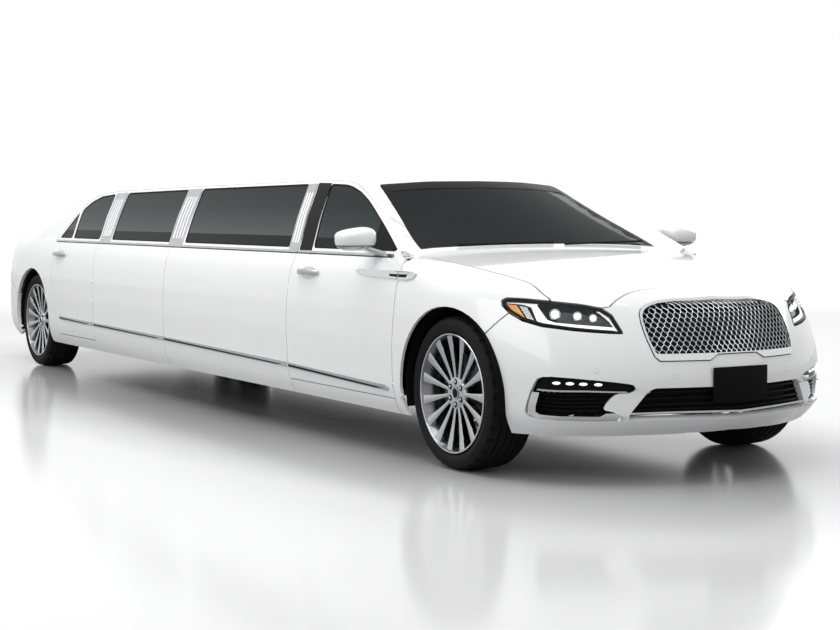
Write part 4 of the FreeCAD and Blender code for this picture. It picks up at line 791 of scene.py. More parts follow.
def aroundTail(points):
    return onto(tailTurn, [(-math.radians(turn) * chartSizes["spread"], z) for turn, z in points])


def onTop(surface, points):
    return onto(topChart(surface), [(x, -y) for x, y in points])


def onFront(surface, points, start=3.2, sign=1):
    return strike(surface, np.array([(start, y, z) for y, z in points], float),
                  np.array([(sign, 0, 0)] * len(points), float))


def onBack(points):
    return onFront(tailBody, points, -3.2, -1)


def flipped(points):
    return np.array(points)[::-1]


def mirrored(points):
    return np.array(points) * (1, -1, 1)


def archRing(chart, axle):
    turns = [math.tau * i / shut["archRound"] for i in range(shut["archRound"])]
    return onto(chart, [(axle + shut["arch"] * math.cos(turn), form["axleZ"] + shut["arch"] * math.sin(turn))
                        for turn in turns])


def sidePanel(front, rear, low, high, cell=(0.06, 0.022)):
    # a flank panel between two shut lines given from bottom to top
    loop = [(front[0][0], low)] + list(curve(front)) + [(front[-1][0], high), (rear[-1][0], high)]
    loop += list(curve(rear))[::-1] + [(rear[0][0], low)]
    return patch(side, tidyLoop(loop), cell=cell, gap=shut["gap"])


def tidyLoop(points):
    keep = [points[0]]
    for p in points[1:]:
        if math.dist(p, keep[-1]) > 1e-4:
            keep.append(p)
    return keep if math.dist(keep[0], keep[-1]) > 1e-4 else keep[:-1]


# doors below the window line, the stretched flank and the sills
def flanks():
    foot, belt, sill = shut["doorFoot"], shut["belt"], shut["sill"]
    middle = shut["middle"]
    for name, left in bothSides:
        frontDoor = sidePanel(shut["doorFront"], shut["doorRear"], foot, belt)
        piece("front_door_skin_" + name, frontDoor, bodyPaint, "front_door_" + name, 0.045,
              left=left, stands=["front_door_" + name])
        backDoor = sidePanel(shut["backDoorFront"], shut["backDoorRear"], foot, belt)
        piece("rear_door_skin_" + name, backDoor, bodyPaint, "rear_door_" + name, 0.045,
              left=left, stands=["rear_door_" + name])
    seam = [(middle, sill), (middle, belt)]
    parts = [sidePanel(shut["doorRear"], seam, sill, belt, cell=(0.12, 0.022)),
             sidePanel(seam, shut["backDoorFront"], sill, belt, cell=(0.12, 0.022))]
    for front, rear in (((2.688, 2.684), (1.552, 1.552)), ((-1.514, -1.514), (-2.276, -2.272))):
        ends = [[(low, sill), (high, foot)] for low, high in (front, rear)]
        parts.append(sidePanel(*ends, sill, foot, cell=(0.1, 0.015)))
    piece("stretch_sides", twinned(joined(*parts)), bodyPaint, "shell", 0.026,
          stands=["body_sides"])


def frontWings():
    s = shut
    door = [(x, z) for x, z in curve(s["doorFront"])]
    loop = [onto(noseSide, [(2.690, s["sill"])] + [p for p in door if p[1] < 0.93])]
    loop.append(onTop(noseBody, [(2.716, 0.845)] + list(curve(s["bonnetSide"]))))
    rim = aroundNose(lampRim)
    loop.append(rim[[3, 2, 1, 0, 16]])
    loop.append(rim[15:16])
    loop.append(onto(noseSide, [(3.437, 0.658), (3.33, 0.56), (3.15, 0.45), (2.80, 0.207)]))
    outline = filled(np.concatenate(loop))
    wing = sheet(noseSection, outline, [archRing(noseSide, s["frontAxle"])], cell=(0.03, 0.022), gap=s["gap"],
                 holeGap=0, both=True)
    piece("front_wings", wing, bodyPaint, "shell", 0.014, stands=["front_fenders"])


def bonnetSkin():
    right = np.concatenate([onTop(noseBody, curve(shut["bonnetSide"])), aroundNose(lampRim)[[3, 4, 5]],
                            curve(shut["bonnetNose"])])
    left = flipped(mirrored(right))[1:]
    skin = sheet(noseSection, filled(np.concatenate([right, left])), cell=(0.035, 0.028), gap=shut["gap"])
    piece("bonnet_skin", skin, bodyPaint, "bonnet", 0.02, stands=["bonnet"])


# The front bumper's openings and trim: y, z seen from the front, and for the fog lamps degrees and z.
mouth = {
    "grille": [(0.0, 0.800), (-0.22, 0.796), (-0.30, 0.789), (-0.355, 0.776), (-0.385, 0.760),
               (-0.402, 0.737), (-0.410, 0.70), (-0.411, 0.66), (-0.408, 0.62), (-0.394, 0.555),
               (-0.375, 0.536), (-0.150, 0.536), (-0.108, 0.560), (0.0, 0.561)],
    "mesh": [(0.0, 0.788), (-0.22, 0.784), (-0.298, 0.777), (-0.348, 0.765), (-0.375, 0.750),
             (-0.390, 0.730), (-0.398, 0.70), (-0.399, 0.66), (-0.396, 0.62), (-0.385, 0.575),
             (-0.378, 0.568), (-0.09, 0.568), (0.0, 0.569)],
    "intake": [(0.0, 0.498), (-0.128, 0.498), (-0.129, 0.425), (-0.40, 0.424), (-0.428, 0.412),
               (-0.500, 0.312), (-0.500, 0.286), (0.0, 0.283)],
    "fog": [(68.5, 0.470), (57.8, 0.464), (43.5, 0.444), (41.2, 0.432), (41.0, 0.418), (43.0, 0.404),
            (47.5, 0.396), (51.0, 0.338), (47.8, 0.322), (45.6, 0.302), (47.4, 0.286), (58, 0.283),
            (70.5, 0.290), (73.8, 0.305), (73.6, 0.345), (71.4, 0.430)],
    "intakeBack": [(0.0, 0.440), (-0.42, 0.438), (-0.52, 0.32), (-0.52, 0.27), (0.0, 0.268)],
    "intakeLine": [(0.0, 0.3175), (-0.503, 0.3195), (-0.508, 0.3105), (0.0, 0.3085)],
    "intakeSlats": [(0.405, 0.42), (0.378, 0.44), (0.351, 0.462), (0.329, 0.478)],
    "fogHousing": [(68.3, 0.469), (57.8, 0.462), (43.6, 0.442), (41.6, 0.431), (41.5, 0.420),
                   (43.2, 0.408), (56, 0.412), (70.3, 0.415), (71.0, 0.430)],
    "fogLip": [(70.2, 0.4175), (56, 0.4145), (43.8, 0.4105), (43.4, 0.4050), (56, 0.4075), (70.4, 0.4105)],
    "fogFrame": [(73.1, 0.306), (72.9, 0.345), (71.6, 0.404), (69.4, 0.402), (70.5, 0.345),
                 (70.7, 0.318), (69.4, 0.3075), (60, 0.3035), (52, 0.3025), (50.2, 0.3170),
                 (47.0, 0.3175), (44.4, 0.300), (46.3, 0.2885), (58, 0.2868), (70.3, 0.2925)],
    "fogLights": [64.6, 60.8, 57.0, 52.6], "sensors": [(-0.314, 0.478), (-0.62, 0.50)],
}


def wholeFront(points):
    right = onFront(noseBody, points)
    return np.concatenate([right, flipped(mirrored(right))[1:-1]])


def frontBumper():
    s = shut
    rim = aroundNose(lampRim)
    low = aroundNose([(0, 0.222), (20, 0.218), (40, 0.212), (60, 0.207), (75, 0.206), (86, 0.206),
                      (100, 0.206)])
    ends = onto(noseSide, [(3.15, 0.40), (3.33, 0.56), (3.437, 0.658)])
    right = np.concatenate([low, ends, rim[[15, 14, 13, 12, 11, 10, 9, 8, 7, 6, 5]], curve(s["bonnetNose"])])
    outline = np.concatenate([right, flipped(mirrored(right))[1:-1]])
    fog = aroundNose(curve(mouth["fog"], 3, True))
    arch = archRing(noseSide, s["frontAxle"])
    holes = [wholeFront(mouth["grille"]), wholeFront(mouth["intake"]), fog, flipped(mirrored(fog)), arch,
             flipped(mirrored(arch))]
    skin = sheet(nose, filled(outline, 0.05), holes, cell=(0.022, 0.018), gap=s["gap"])
    piece("front_bumper_skin", skin, bodyPaint, "shell", 0.028, stands=["front_bumper"])


def rearQuarters():
    s = shut
    rim = aroundTail(tailRim)
    door = [(x - 0.001, z) for x, z in curve(s["backDoorRear"]) if z < 0.945]
    parts = [onto(tailSide, [(-2.276, s["sill"])] + door)]
    parts.append(onTop(tailBody, [(-2.56, 0.80), (-3.20, 0.74), (-3.362, 0.703), (-3.60, 0.699),
                                  (-3.76, 0.695), (-3.80, 0.655)]))
    parts.append(rim[[3, 2, 1, 0, 11, 10, 9]])
    parts.append(onto(tailSide, [(-3.30, 0.575), (-3.15, 0.50), (-2.892, 0.40), (-2.50, 0.207)]))
    quarter = sheet(tailSection, filled(np.concatenate(parts)), [archRing(tailSide, s["rearAxle"])],
                    cell=(0.035, 0.022), gap=s["gap"], both=True)
    piece("rear_quarters", quarter, bodyPaint, "shell", 0.022)


def rearBumper():
    s = shut
    rim = aroundTail(tailRim)
    low = aroundTail([(0, 0.24), (20, 0.235), (40, 0.222), (60, 0.212), (80, 0.207), (100, 0.207)])
    ends = onto(tailSide, [(-2.892, 0.40), (-3.15, 0.50), (-3.30, 0.575)])
    under = aroundTail([(50, 0.700), (35, 0.700), (18, 0.700), (0, 0.700)])
    right = np.concatenate([low, ends, rim[[9, 8, 7]], under])
    outline = np.concatenate([right, flipped(mirrored(right))[1:-1]])
    arch = archRing(tailSide, s["rearAxle"])
    slot = onBack(softened(rearSlot, 0.03))
    skin = sheet(tail, filled(outline, 0.05), [arch, flipped(mirrored(arch)), slot], cell=(0.025, 0.02),
                 gap=s["gap"])
    piece("rear_bumper_skin", skin, bodyPaint, "shell", 0.028, stands=["rear_bumper"])


def bootLid():
    lid = lidChart(tailBody)
    sideTop = onTop(tailBody, [(-3.362, 0.703), (-3.60, 0.699), (-3.76, 0.695), (-3.80, 0.655)])
    down = aroundTail([(53.9, 0.902), (53.3, 0.88), (53.2, 0.80), (53.3, 0.740), (50, 0.706)])
    foot = aroundTail([(35, 0.706), (18, 0.706), (0, 0.706)])
    right = np.concatenate([sideTop, down, foot])
    front = onTop(tailBody, [(-3.362, y) for y in (-0.6, -0.4, -0.2, 0.0, 0.2, 0.4, 0.6)])
    outline = np.concatenate([right, flipped(mirrored(right))[1:], front])
    plate = onBack(softened([(-0.30, 0.745), (-0.27, 0.865), (0.27, 0.865), (0.30, 0.745)], 0.02))
    skin = sheet(lid, filled(outline, 0.06), [plate], cell=(0.03, 0.022), gap=shut["gap"])
    piece("boot_lid_skin", skin, bodyPaint, "boot_lid", 0.022, stands=["boot_lid"])
    dish = sheet(tail, plate, cell=(0.04, 0.03), lift=-0.018, gap=-0.01)
    piece("plate_recess", dish, bodyPaint, "boot_lid", 0.004)
    deck = onTop(tailBody, [(-3.358, 0.699), (-3.05, 0.70)])
    deck = np.concatenate([deck, flipped(mirrored(deck))])
    piece("rear_deck_skin", sheet(topChart(tailBody), filled(deck), cell=(0.04, 0.05), gap=0.002), bodyPaint,
          "shell", 0.015, stands=["rear_deck"])


# The side windows and their frames as x, z.
windows = {
    "opening": [(2.664, 0.954), (2.650, 0.972), (2.562, 1.028), (2.366, 1.124), (2.145, 1.213),
                (2.004, 1.264), (1.888, 1.299), (1.771, 1.327), (1.622, 1.344), (1.50, 1.349),
                (1.30, 1.350), (0.40, 1.345), (-0.60, 1.338), (-1.55, 1.328), (-1.85, 1.320),
                (-2.08, 1.303), (-2.24, 1.262), (-2.36, 1.160), (-2.44, 1.05), (-2.478, 0.975),
                (-2.486, 0.954)],
    "front": [(1.702, 0.986), (2.572, 0.986), (2.588, 0.996), (2.466, 1.054), (2.327, 1.118),
              (2.180, 1.180), (2.033, 1.238), (1.894, 1.283), (1.769, 1.311), (1.683, 1.324),
              (1.490, 1.332)],
    "long": [(-0.059, 0.986), (1.431, 0.986), (1.226, 1.334), (-0.253, 1.325)],
    "middle": [(-1.351, 0.986), (-0.290, 0.986), (-0.477, 1.322), (-1.550, 1.311)],
    "rear": [(-2.142, 0.986), (-1.590, 0.986), (-1.795, 1.305), (-2.05, 1.291), (-2.19, 1.252),
             (-2.282, 1.195)],
    "quarter": [(-2.440, 0.986), (-2.172, 0.986), (-2.312, 1.180)],
    "doorRear": [(1.554, 0.960), (1.334, 1.349)],
    "backDoorFront": [(-1.550, 0.960), (-1.772, 1.325)],
    "pillars": [[(1.431, 0.966), (1.553, 0.966), (1.339, 1.333), (1.226, 1.333)],
                [(-0.290, 0.966), (-0.059, 0.966), (-0.253, 1.324), (-0.477, 1.321)],
                [(-1.549, 0.966), (-1.351, 0.966), (-1.553, 1.312), (-1.770, 1.308)]],
    "screen": [(-0.735, 0.972), (0.735, 0.972), (0.70, 1.055), (0.655, 1.125), (0.615, 1.205),
               (0.585, 1.272), (0.565, 1.322), (0.30, 1.340), (0.0, 1.344), (-0.30, 1.340),
               (-0.565, 1.322), (-0.585, 1.272), (-0.615, 1.205), (-0.655, 1.125), (-0.70, 1.055)],
    "back": [(-0.70, 1.045), (0.70, 1.045), (0.56, 1.28), (0.30, 1.318), (0.0, 1.323), (-0.30, 1.318),
             (-0.56, 1.28)],
}


def screenLine(name, start, sign, push=0.0):
    loop = np.array(windowOutline(name, 0.05))
    loop = shrunk(loop, push) if push else loop
    return onFront(greenhouse, filled(loop), start, sign)


def roofShell():
    opening = onto(houseSide, filled(tidyLoop(list(curve(windows["opening"], 4)))))
    low = onto(houseSide, [(x, 0.946) for x in np.linspace(-3.02, 2.50, 70)])
    front = onFront(greenhouse, [(y, 0.958) for y in np.linspace(-0.80, 0.80, 17)], 1.0)
    back = onFront(greenhouse, [(y, 0.985) for y in np.linspace(0.78, -0.78, 17)], -2.0, -1)
    outline = np.concatenate([low, front, flipped(mirrored(low)), back])
    holes = [opening, flipped(mirrored(opening)), screenLine("screen", 1.0, 1), screenLine("back", -2.0, -1)]
    shell = sheet(roofSection, outline, holes, cell=(0.045, 0.024))
    piece("roof_shell", shell, bodyPaint, "shell", 0.024, stands=["roof_panel"])


def windowOutline(name, radius=0.03):
    corners = windows[name]
    lengths = [math.dist(p, q) for p, q in zip(corners, corners[1:] + corners[:1])]
    shorter = [min(pair) for pair in zip(lengths[-1:] + lengths[:-1], lengths)]
    return softened(corners, [min(radius, length * 0.45) for length in shorter])


def sideGlass():
    c = houseSide
    # each frame is cut from the opening; front and rear doors carry their own
    whole = np.array(tidyLoop(list(curve(windows["opening"], 4))))
    frontCut = [(1.554, 0.9575), (2.70, 0.9575), (2.70, 1.36), (1.334, 1.36)]
    middleCut = [(-1.547, 0.9575), (1.551, 0.9575), (1.331, 1.36), (-1.769, 1.36)]
    rearCut = [(-2.50, 0.9575), (-1.550, 0.9575), (-1.772, 1.36), (-2.50, 1.36)]
    frames = {"front": (frontCut, ["front"]), "middle": (middleCut, ["long", "middle"]),
              "rear": (rearCut, ["rear", "quarter"])}
    for where, (cut, panes) in frames.items():
        loop = clipped(whole, cut)
        for name, left in bothSides:
            body = {"front": "front_door_" + name, "middle": "shell", "rear": "rear_door_" + name}[where]
            holes = [onto(c, filled(windowOutline(pane))) for pane in panes]
            frameShape = patch(c, loop, holes, cell=(0.06, 0.02), gap=0.002, lift=-0.001)
            piece("window_frame_{}_{}".format(where, name), frameShape, brightTrim, body, 0.02,
                  left=left)
            for pane, hole in zip(panes, holes):
                seal = sheet(c, hole, [onto(c, filled(shrunk(windowOutline(pane), 0.007)))],
                             cell=(0.06, 0.02), lift=-0.0025, gap=-0.002)
                piece("window_seal_{}_{}".format(pane, name), seal, rubberBlack, body, 0.012, left=left)
                glass = frontGlass if where == "front" else privacyGlass
                paneSkin = sheet(c, hole, cell=(0.06, 0.02), gap=0.003, lift=-0.005)
                stands = {"front": ["front_door_glass_" + name],
                          "rear": ["rear_door_glass_" + name]}.get(pane, [])
                piece("window_{}_{}".format(pane, name), paneSkin, glass, body, 0.005,
                      left=left, stands=stands)


def crossed(a, b, p):
    # positive where p is left of the line from a to b
    return (b[0] - a[0]) * (p[1] - a[1]) - (b[1] - a[1]) * (p[0] - a[0])


def clipped(loop, cut):
    # a flat outline kept inside a convex one
    out = [tuple(p) for p in loop]
    for a, b in zip(cut, cut[1:] + cut[:1]):
        kept = []
        for p, q in zip(out, out[1:] + out[:1]):
            sp, sq = (crossed(a, b, point) for point in (p, q))
            if sp >= 0:
                kept.append(p)
            if sp * sq < 0:
                t = sp / (sp - sq)
                kept.append((p[0] + (q[0] - p[0]) * t, p[1] + (q[1] - p[1]) * t))
        out = kept
    return np.array(tidyLoop(out))


def screens():
    for name, start, sign in (("screen", 1.0, 1), ("back", -2.0, -1)):
        edge = screenLine(name, start, sign)
        chart = roofSection
        pane = sheet(chart, edge, cell=(0.05, 0.04), gap=0.004, lift=-0.004)
        glass = screenGlass if name == "screen" else rearGlass
        piece({"screen": "windscreen", "back": "rear_window"}[name], pane, glass, "shell",
              0.005, stands=["fixed_glass"] if name == "screen" else [])
        border = sheet(chart, edge, [screenLine(name, start, sign, 0.036)], cell=(0.05, 0.04), gap=0.001,
                       lift=-0.0025)
        piece(name + "_border", border, blackGloss, "shell", 0.004)


def pillarCovers():
    for index, cover in enumerate(windows["pillars"]):
        for name, left in bothSides:
            skin = patch(houseSide, cover, cell=(0.05, 0.02), gap=0.001, lift=0.003)
            a, b, c, d = (np.array(p) for p in cover)
            ribs = []
            count = 4 if index else 3
            for k in range(count):
                t = (k + 1) / (count + 1)
                low, high = a + (b - a) * t, d + (c - d) * t
                line = onto(houseSide, [low + (high - low) * s for s in np.linspace(0.12, 0.86, 12)])
                ribs.append(tube(line + np.array((0, -0.0035, 0)), 0.0032))
            piece("pillar_cover_{}_{}".format(index, name), skin, chrome, "shell", 0.005, left=left)
            piece("pillar_ribs_{}_{}".format(index, name), joined(*ribs), satinChrome, "shell",
                  left=left)
    strip = [(1.559, 0.966), (1.703, 0.966), (1.493, 1.334), (1.341, 1.338)]
    for name, left in bothSides:
        skin = patch(houseSide, strip, cell=(0.05, 0.02), gap=0.001, lift=0.001)
        piece("door_pillar_" + name, skin, blackGloss, "front_door_" + name, 0.003, left=left)


# wheels and tyres, made with the axle along y and the outer face towards -y
wheelSizes = {"track": 0.792, "spokes": 15, "hubR": 0.066, "rimR": 0.272, "lugs": 6, "lugCircle": 0.052,
              "steps": 96}
tyreLine = [(-0.098, 0.2637), (-0.1045, 0.2655), (-0.1060, 0.272), (-0.1085, 0.279), (-0.1150, 0.284),
            (-0.1165, 0.2855), (-0.1170, 0.2880), (-0.1205, 0.295), (-0.1218, 0.303), (-0.1222, 0.310),
            (-0.1232, 0.3105), (-0.1232, 0.3135), (-0.1220, 0.314), (-0.1205, 0.324), (-0.1170, 0.334),
            (-0.1110, 0.3415), (-0.1040, 0.3455), (-0.0960, 0.3480), (-0.0830, 0.3498), (-0.0640, 0.3508),
            (-0.0625, 0.3430), (-0.0545, 0.3430), (-0.0530, 0.3512), (-0.0250, 0.3519), (-0.0238, 0.3440),
            (-0.0150, 0.3440), (-0.0138, 0.3520)]
flangeLine = [(-0.1135, 0.2655), (-0.1165, 0.2668), (-0.1172, 0.2685), (-0.1172, 0.2725), (-0.1150, 0.2750),
              (-0.1085, 0.2745), (-0.1072, 0.2632), (-0.0720, 0.2632), (-0.0600, 0.2460), (0.0500, 0.2460),
              (0.0620, 0.2632), (0.1080, 0.2632), (0.1090, 0.2740), (0.1160, 0.2745), (0.1160, 0.2530),
              (0.0600, 0.2520), (0.0500, 0.2385), (-0.0600, 0.2385), (-0.0850, 0.2500), (-0.1050, 0.2600)]


wheelLines = {
    "hub": [(-0.094, 0.0), (-0.0945, 0.020), (-0.0935, 0.0235), (-0.0905, 0.0245), (-0.0900, 0.029),
            (-0.0925, 0.031), (-0.0930, 0.062), (-0.0905, 0.072), (-0.0780, 0.079), (-0.058, 0.079),
            (-0.040, 0.074), (-0.016, 0.074), (-0.016, 0.0)],
    "pocket": [(-0.0936, 0.0), (-0.0936, 0.0134), (-0.0925, 0.0140), (-0.0885, 0.0140)],
    "nut": [(-0.0975, 0.0), (-0.0975, 0.0052), (-0.0962, 0.0064), (-0.092, 0.0066)],
    "cap": [(-0.0962, 0.0), (-0.0960, 0.016), (-0.0952, 0.0205), (-0.0938, 0.0215)],
    "capRing": [(-0.0940, 0.0220), (-0.0966, 0.0230), (-0.0966, 0.0262), (-0.0925, 0.0275)],
    "edge": [(-0.1150, 0.2662), (-0.1178, 0.2676), (-0.1184, 0.2700), (-0.1184, 0.2730), (-0.1165, 0.2750),
             (-0.1140, 0.2756)],
}
spoke = {"half": 0.0085, "flare": 0.0150, "face": 0.0905, "rise": 0.0195, "depth": 0.030, "taper": 0.006,
         "end": 0.008, "back": 0.55, "ridge": 0.0028}


def tyreShape():
    line = tyreLine + [(-y, r) for y, r in tyreLine[::-1]]
    bm = turned(line, steps=wheelSizes["steps"], close=True)
    blocks = []
    for face in bm.faces:
        middle = face.calc_center_median()
        turn = int(math.floor((math.atan2(middle.z, middle.x) / math.tau % 1) * wheelSizes["steps"]))
        if math.hypot(middle.x, middle.z) > 0.343 and 0.083 < abs(middle.y) < 0.112 and turn % 3 == 0:
            blocks.append(face)
    bmesh.ops.inset_individual(bm, faces=blocks, thickness=0.0012, depth=-0.0045)
    return bm


def spokeShape(turn):
    w = wheelSizes
    bm = slicedBar(0, 7)
    for v in bm.verts:
        s = v.co.x + 0.5
        half = spoke["half"] + spoke["flare"] * s ** 1.7
        front = v.co.y < 0
        face = -(spoke["face"] + spoke["rise"] * s ** 1.4)
        depth = 0 if front else spoke["depth"] + spoke["taper"] * (1 - s)
        v.co = (w["hubR"] + s * (w["rimR"] - spoke["end"] - w["hubR"]), face + depth,
                v.co.z * 2 * half * (1 if front else spoke["back"]))
    ridge = [e for e in bm.edges
             if all(v.co.y < -0.085 for v in e.verts) and abs(e.verts[0].co.x - e.verts[1].co.x) > 0.01]
    bmesh.ops.bevel(bm, geom=ridge, offset=spoke["ridge"], segments=2, affect="EDGES", profile=0.5,
                    material=-1)
    bmesh.ops.rotate(bm, cent=(0, 0, 0), matrix=Matrix.Rotation(turn, 3, "Y"), verts=bm.verts)
    return bm


def wheels():
    w = wheelSizes
    for end, axle in (("front", shut["frontAxle"]), ("rear", shut["rearAxle"])):
        for name, left in bothSides:
            body = "{}_roller_{}".format(end, name)
            place = Vector((axle, -w["track"], form["axleZ"]))
            tyre = tyreShape()
            rim = turned(flangeLine, steps=w["steps"], close=True)
            hub = turned(wheelLines["hub"], steps=64)
            face = joined(hub, *[spokeShape(math.tau * i / w["spokes"]) for i in range(w["spokes"])])
            dark, nuts = [], []
            # each lug nut sits on a flat black disc that stands for its shaded pocket: painted shade
            for i in range(w["lugs"]):
                turn = math.tau * (i + 0.5) / w["lugs"]
                spot = (w["lugCircle"] * math.cos(turn), 0, w["lugCircle"] * math.sin(turn))
                dark.append(turned(wheelLines["pocket"], steps=20, centre=spot))
                nuts.append(turned(wheelLines["nut"], steps=6, centre=spot))
            cap = turned(wheelLines["cap"], steps=40)
            capRing = turned(wheelLines["capRing"], steps=40)
            edge = turned(wheelLines["edge"], steps=w["steps"])
            shapes = [("tyre_skin", tyre, tyreSkin, "tyre_rubber", ["{}_tyre_{}".format(end, name)]),
                      ("rim", rim, rimPaintedShade, "wheel_alloy", []),
                      ("wheel_face", face, alloy, "wheel_alloy", ["{}_wheel_{}".format(end, name)]),
                      ("lug_pockets", joined(*dark), blackPlastic, None, []),
                      ("lug_nuts", joined(*nuts, capRing), chrome, None, []),
                      ("hub_cap", cap, blackGloss, None, []),
                      ("rim_edge", edge, chrome, None, [])]
            for label, bm, finish, slotName, stands in shapes:
                bmesh.ops.translate(bm, vec=place, verts=bm.verts)
                piece("{}_{}_{}".format(end, label, name), bm, finish, body, left=left,
                      stands=stands, sharp=50 if label == "tyre_skin" else 35)


def aimed(bm, centre, aim):
    # turns a lathe shape's outer face towards aim and moves it to centre
    turn = Vector((0, -1, 0)).rotation_difference(Vector(aim)).to_matrix()
    bmesh.ops.rotate(bm, cent=(0, 0, 0), matrix=turn, verts=bm.verts)
    bmesh.ops.translate(bm, vec=centre, verts=bm.verts)
    return bm


def disc(radius, depth, centre, aim, steps=28, dome=0.0):
    # a round boss or domed lens that faces aim
    bm = turned([(-depth - dome, 0.0), (-depth - dome * 0.75, radius * 0.5),
                 (-depth - dome * 0.3, radius * 0.82), (-depth, radius), (0, radius), (0, 0)], steps=steps)
    return aimed(bm, centre, aim)


def hoop(radius, thick, centre, aim):
    ring = [(-thick * math.sin(math.tau * k / 8), radius + thick * math.cos(math.tau * k / 8))
            for k in range(8)]
    return aimed(turned(ring, steps=32, close=True), centre, aim)


lampSizes = {
    "band": [(84.6, 0.789), (84.9, 0.782), (78.8, 0.778), (76.0, 0.768), (72.6, 0.702), (70.2, 0.690),
             (62, 0.678), (52, 0.670), (47.4, 0.666), (47.2, 0.672), (49.0, 0.684), (60, 0.694),
             (67.5, 0.703), (70.0, 0.714), (74.6, 0.777), (74.0, 0.785), (78, 0.789)],
    "inner": [(47.4, 0.676), (48.4, 0.676), (51.0, 0.712), (54.5, 0.744), (56.5, 0.756), (56.0, 0.761),
              (53.6, 0.752), (50.2, 0.720)],
    "amber": [(84.6, 0.777), (80.6, 0.772), (75.6, 0.703), (79.4, 0.722), (82.6, 0.744)],
    "clear": [(79.8, 0.771), (77.2, 0.765), (73.2, 0.700), (74.9, 0.701)],
    "lenses": [(68.6, 0.744, 0.024), (61.8, 0.737, 0.020), (56.6, 0.729, 0.018)],
    "lensDepth": 0.024, "lensAim": (0.90, -0.42, 0.02),
    "web": [(70.5, 0.772), (54.5, 0.752), (49.8, 0.700), (60, 0.700), (67, 0.710)],
}


def headLamps():
    rim = aroundNose(lampRim)
    pair = dict(cell=(0.02, 0.015), both=True)
    piece("headlamp_bowls", sheet(nose, rim, gap=0.006, lift=-0.042, **pair), blackGloss,
          wall=0.004, stands=["headlamps"])
    piece("headlamp_borders", sheet(nose, rim, [aroundNoseInset(rim, 0.0125)], gap=0.003, lift=-0.0015,
                                    **pair), blackGloss, wall=0.036)
    piece("headlamp_lenses", sheet(nose, rim, gap=0.004, lift=0.0, **pair), clearLens,
          wall=0.003)
    for name, finish, depth in (("band", lampWhite, -0.010), ("inner", lampWhite, -0.012),
                                ("amber", amber, -0.009), ("clear", lampChrome, -0.011)):
        loop = aroundNose(lampSizes[name])
        piece("headlamp_" + name, sheet(nose, filled(loop, 0.02), cell=(0.012, 0.008), lift=depth, both=True),
              finish, wall=0.008)
    ribs, glow, rings, cups = [], [], [], []
    for k in range(4):
        t = 0.15 + k * 0.22
        a, b = aroundNose([(79.4 - 4.6 * t, 0.769 - 0.066 * t), (77.4 - 3.9 * t, 0.765 - 0.064 * t)])
        ribs.append(tube([a, b], 0.0016))
    aim = Vector(lampSizes["lensAim"]).normalized()
    for turn, z, radius in lampSizes["lenses"]:
        spot = aroundNose([(turn, z)])[0]
        out = outward(noseBody, spot[None])[0]
        centre = Vector(spot - out * lampSizes["lensDepth"])
        glow.append(disc(radius * 0.74, 0.003, centre, aim, dome=radius * 0.35))
        rings.append(hoop(radius * 0.92, radius * 0.14, centre, aim))
        cups.append(disc(radius * 1.16, 0.001, centre - aim * 0.004, aim))
    piece("lamp_eyes", twinned(joined(*glow)), lampGlow)
    piece("lamp_eye_rings", twinned(joined(*rings, *ribs)), lampChrome)
    piece("lamp_eye_cups", twinned(joined(*cups)), blackGloss)
    web = aroundNose(lampSizes["web"])
    piece("lamp_web", sheet(nose, filled(web, 0.02), cell=(0.012, 0.008), lift=-0.032, both=True),
          smokedChrome, wall=0.003)


def aroundNoseInset(rim, amount):
    # the rim moved inwards on the surface
    flat = nose[1](rim)
    return onto(nose, shrunk(flat, amount))


# The grille's wires: how many, how they weave, and how far out they reach at each height.
weave = {
    "columns": 56, "rows": 24, "width": 0.80, "low": 0.566, "high": 0.790, "sway": 0.42, "wire": 0.0019,
    "behind": 0.010, "heights": [0.566, 0.58, 0.62, 0.66, 0.70, 0.73, 0.75, 0.765, 0.777, 0.784, 0.788],
    "reach": [0.378, 0.386, 0.396, 0.399, 0.398, 0.390, 0.375, 0.348, 0.298, 0.22, 0.02],
}


def grille():
    surround = mouth["grille"]
    hole = wholeFront(mouth["mesh"])
    ring = sheet(nose, wholeFront(surround), [hole], cell=(0.02, 0.015), gap=0.0035, lift=0.005)
    piece("grille_surround", ring, meshChrome, wall=0.03)
    backing = sheet(nose, wholeFront(surround), cell=(0.04, 0.04), lift=-0.045)
    piece("grille_backing", backing, blackPlastic, wall=0.004, stands=["grille"])
    # a woven lattice of upright wires that meet their neighbours in turn
    columns = weave["columns"]
    pitch = weave["width"] / columns
    parts = []
    zs = np.linspace(weave["low"], weave["high"], weave["rows"])
    for i in range(-(columns // 2) - 1, columns // 2 + 2):
        line = []
        for k, z in enumerate(zs):
            sway = pitch * weave["sway"] * (1 if (k // 2 + i) % 2 == 0 else -1)
            y = i * pitch + sway
            if abs(y) <= np.interp(z, weave["heights"], weave["reach"]):
                line.append((y, z))
        if len(line) > 2:
            run = onFront(noseBody, line) - np.array((weave["behind"], 0, 0))
            parts.append(tube(run, weave["wire"], 4))
    piece("grille_mesh", joined(*parts), chrome)


